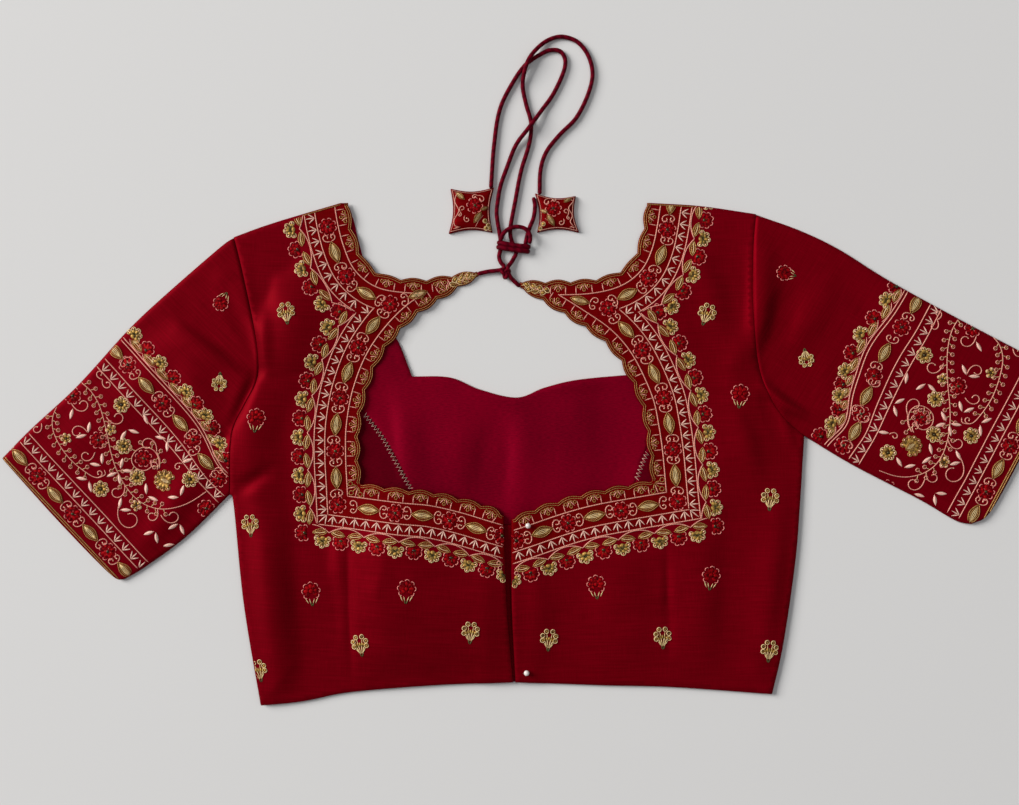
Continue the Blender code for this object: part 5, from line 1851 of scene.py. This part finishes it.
def camera():
    data = bpy.data.cameras.new("camera")
    data.lens = 50
    data.sensor_width = 36
    data.clip_start, data.clip_end = 0.05, 20
    made = placed(data)
    made.location = [value * MM for value in CAMERA_PLACE]
    bpy.context.scene.camera = made


def floor():
    """A plain pale ground under the blouse."""
    paint = Paint("floor", linear(221, 220, 219), 0.9)
    mesh = bpy.data.meshes.new("floor")
    corners = [(FLOOR_REACH * x, FLOOR_REACH * y, FLOOR_LEVEL)
               for x, y in ((-1, -1), (1, -1), (1, 1), (-1, 1))]
    mesh.from_pydata(corners, [], [(0, 1, 2, 3)])
    mesh.materials.append(paint.material)
    placed(mesh)


def light(name, place, size, power, colour=(1.0, 1.0, 1.0)):
    data = bpy.data.lights.new(name, "AREA")
    data.shape = "SQUARE"
    data.size = size
    data.energy = power
    data.color = colour
    made = placed(data)
    made.location = place
    made.rotation_euler = (-Vector(place)).to_track_quat("-Z", "Y").to_euler()


def studio():
    """Soft daylight from the upper left over a bright room."""
    scene = bpy.context.scene
    scene.view_settings.view_transform = "Standard"
    world = bpy.data.worlds.new("room")
    world.use_nodes = True
    sky = world.node_tree.nodes["Background"].inputs
    sky["Color"].default_value = (0.93, 0.95, 1.0, 1.0)
    sky["Strength"].default_value = 0.17
    scene.world = world
    light("window", (-7.6, 3.2, 4.8), 5.0, 1180.0, (1.0, 0.99, 0.97))
    light("fill", (1.2, 0.4, 3.6), 2.4, 20.0)
    floor()


# ---- Building ----
LEFT.overlock = ((-127.0, 31.0), (-112.5, 12.0), (-102.0, -7.0), (-90.5, -27.5))
RIGHT.overlock = ((87.0, 4.0), (82.0, -7.0), (77.5, -19.0))


def embroider(name, half):
    """Every piece of raised work on one half, under the cloth it is on."""
    back = Work(f"work_back_{name}", silk_top, half.back)
    border_work(back, half.border)
    sprig_work(back, half.sprigs)
    for place in half.rings:
        Pen(back).ring("pale", place, 1.35, high=0.7)
    sleeve = Work(f"work_sleeve_{name}", half.sleeve.top, half.sleeve.outline)
    cuff_work(sleeve, half.cuff_frame, half.cuff_bands, half.cuff_fringe)
    vine_work(sleeve, half.vine_frame)
    sprig_work(sleeve, half.sleeve_sprigs, SLEEVE_SPRIG_SIZE)
    lining = Work(f"work_lining_{name}", lining_top, KEYHOLE_RIM)
    overlock_work(lining, half.overlock)
    tassel = Work(f"work_tassel_{name}", half.tassel.top, half.tassel.outline)
    tassel_work(tassel, half.tassel, half.hand)
    return {"back": back.build(), "sleeve": sleeve.build(), "lining": lining.build(),
            "tassel": tassel.build()}


def build():
    camera()
    works = {name: embroider(name, half) for name, half in HALVES.items()}
    held = {"left": [knot()], "right": []}
    for name, half in HALVES.items():
        square = half.tassel.piece(f"tie_tassel_{name}", f"tassel_{name}")
        tie(f"tie_{name}", half.tie, [f"cord_{name}_lower", f"cord_{name}"],
            [*held[name], square, *works[name]["tassel"]])
    tie("tie_tail", TIE_TAIL, ["cord_tail"], [])
    tie("tie_ring", TIE_RING, ["cord_ring"], keeper_pieces())
    front_panels()
    placket()
    for name, half in HALVES.items():
        back_panel(name, half)
        sleeve_piece(name, half.sleeve)
    for pin in PINS:
        pin_head(*pin)


build()
studio()
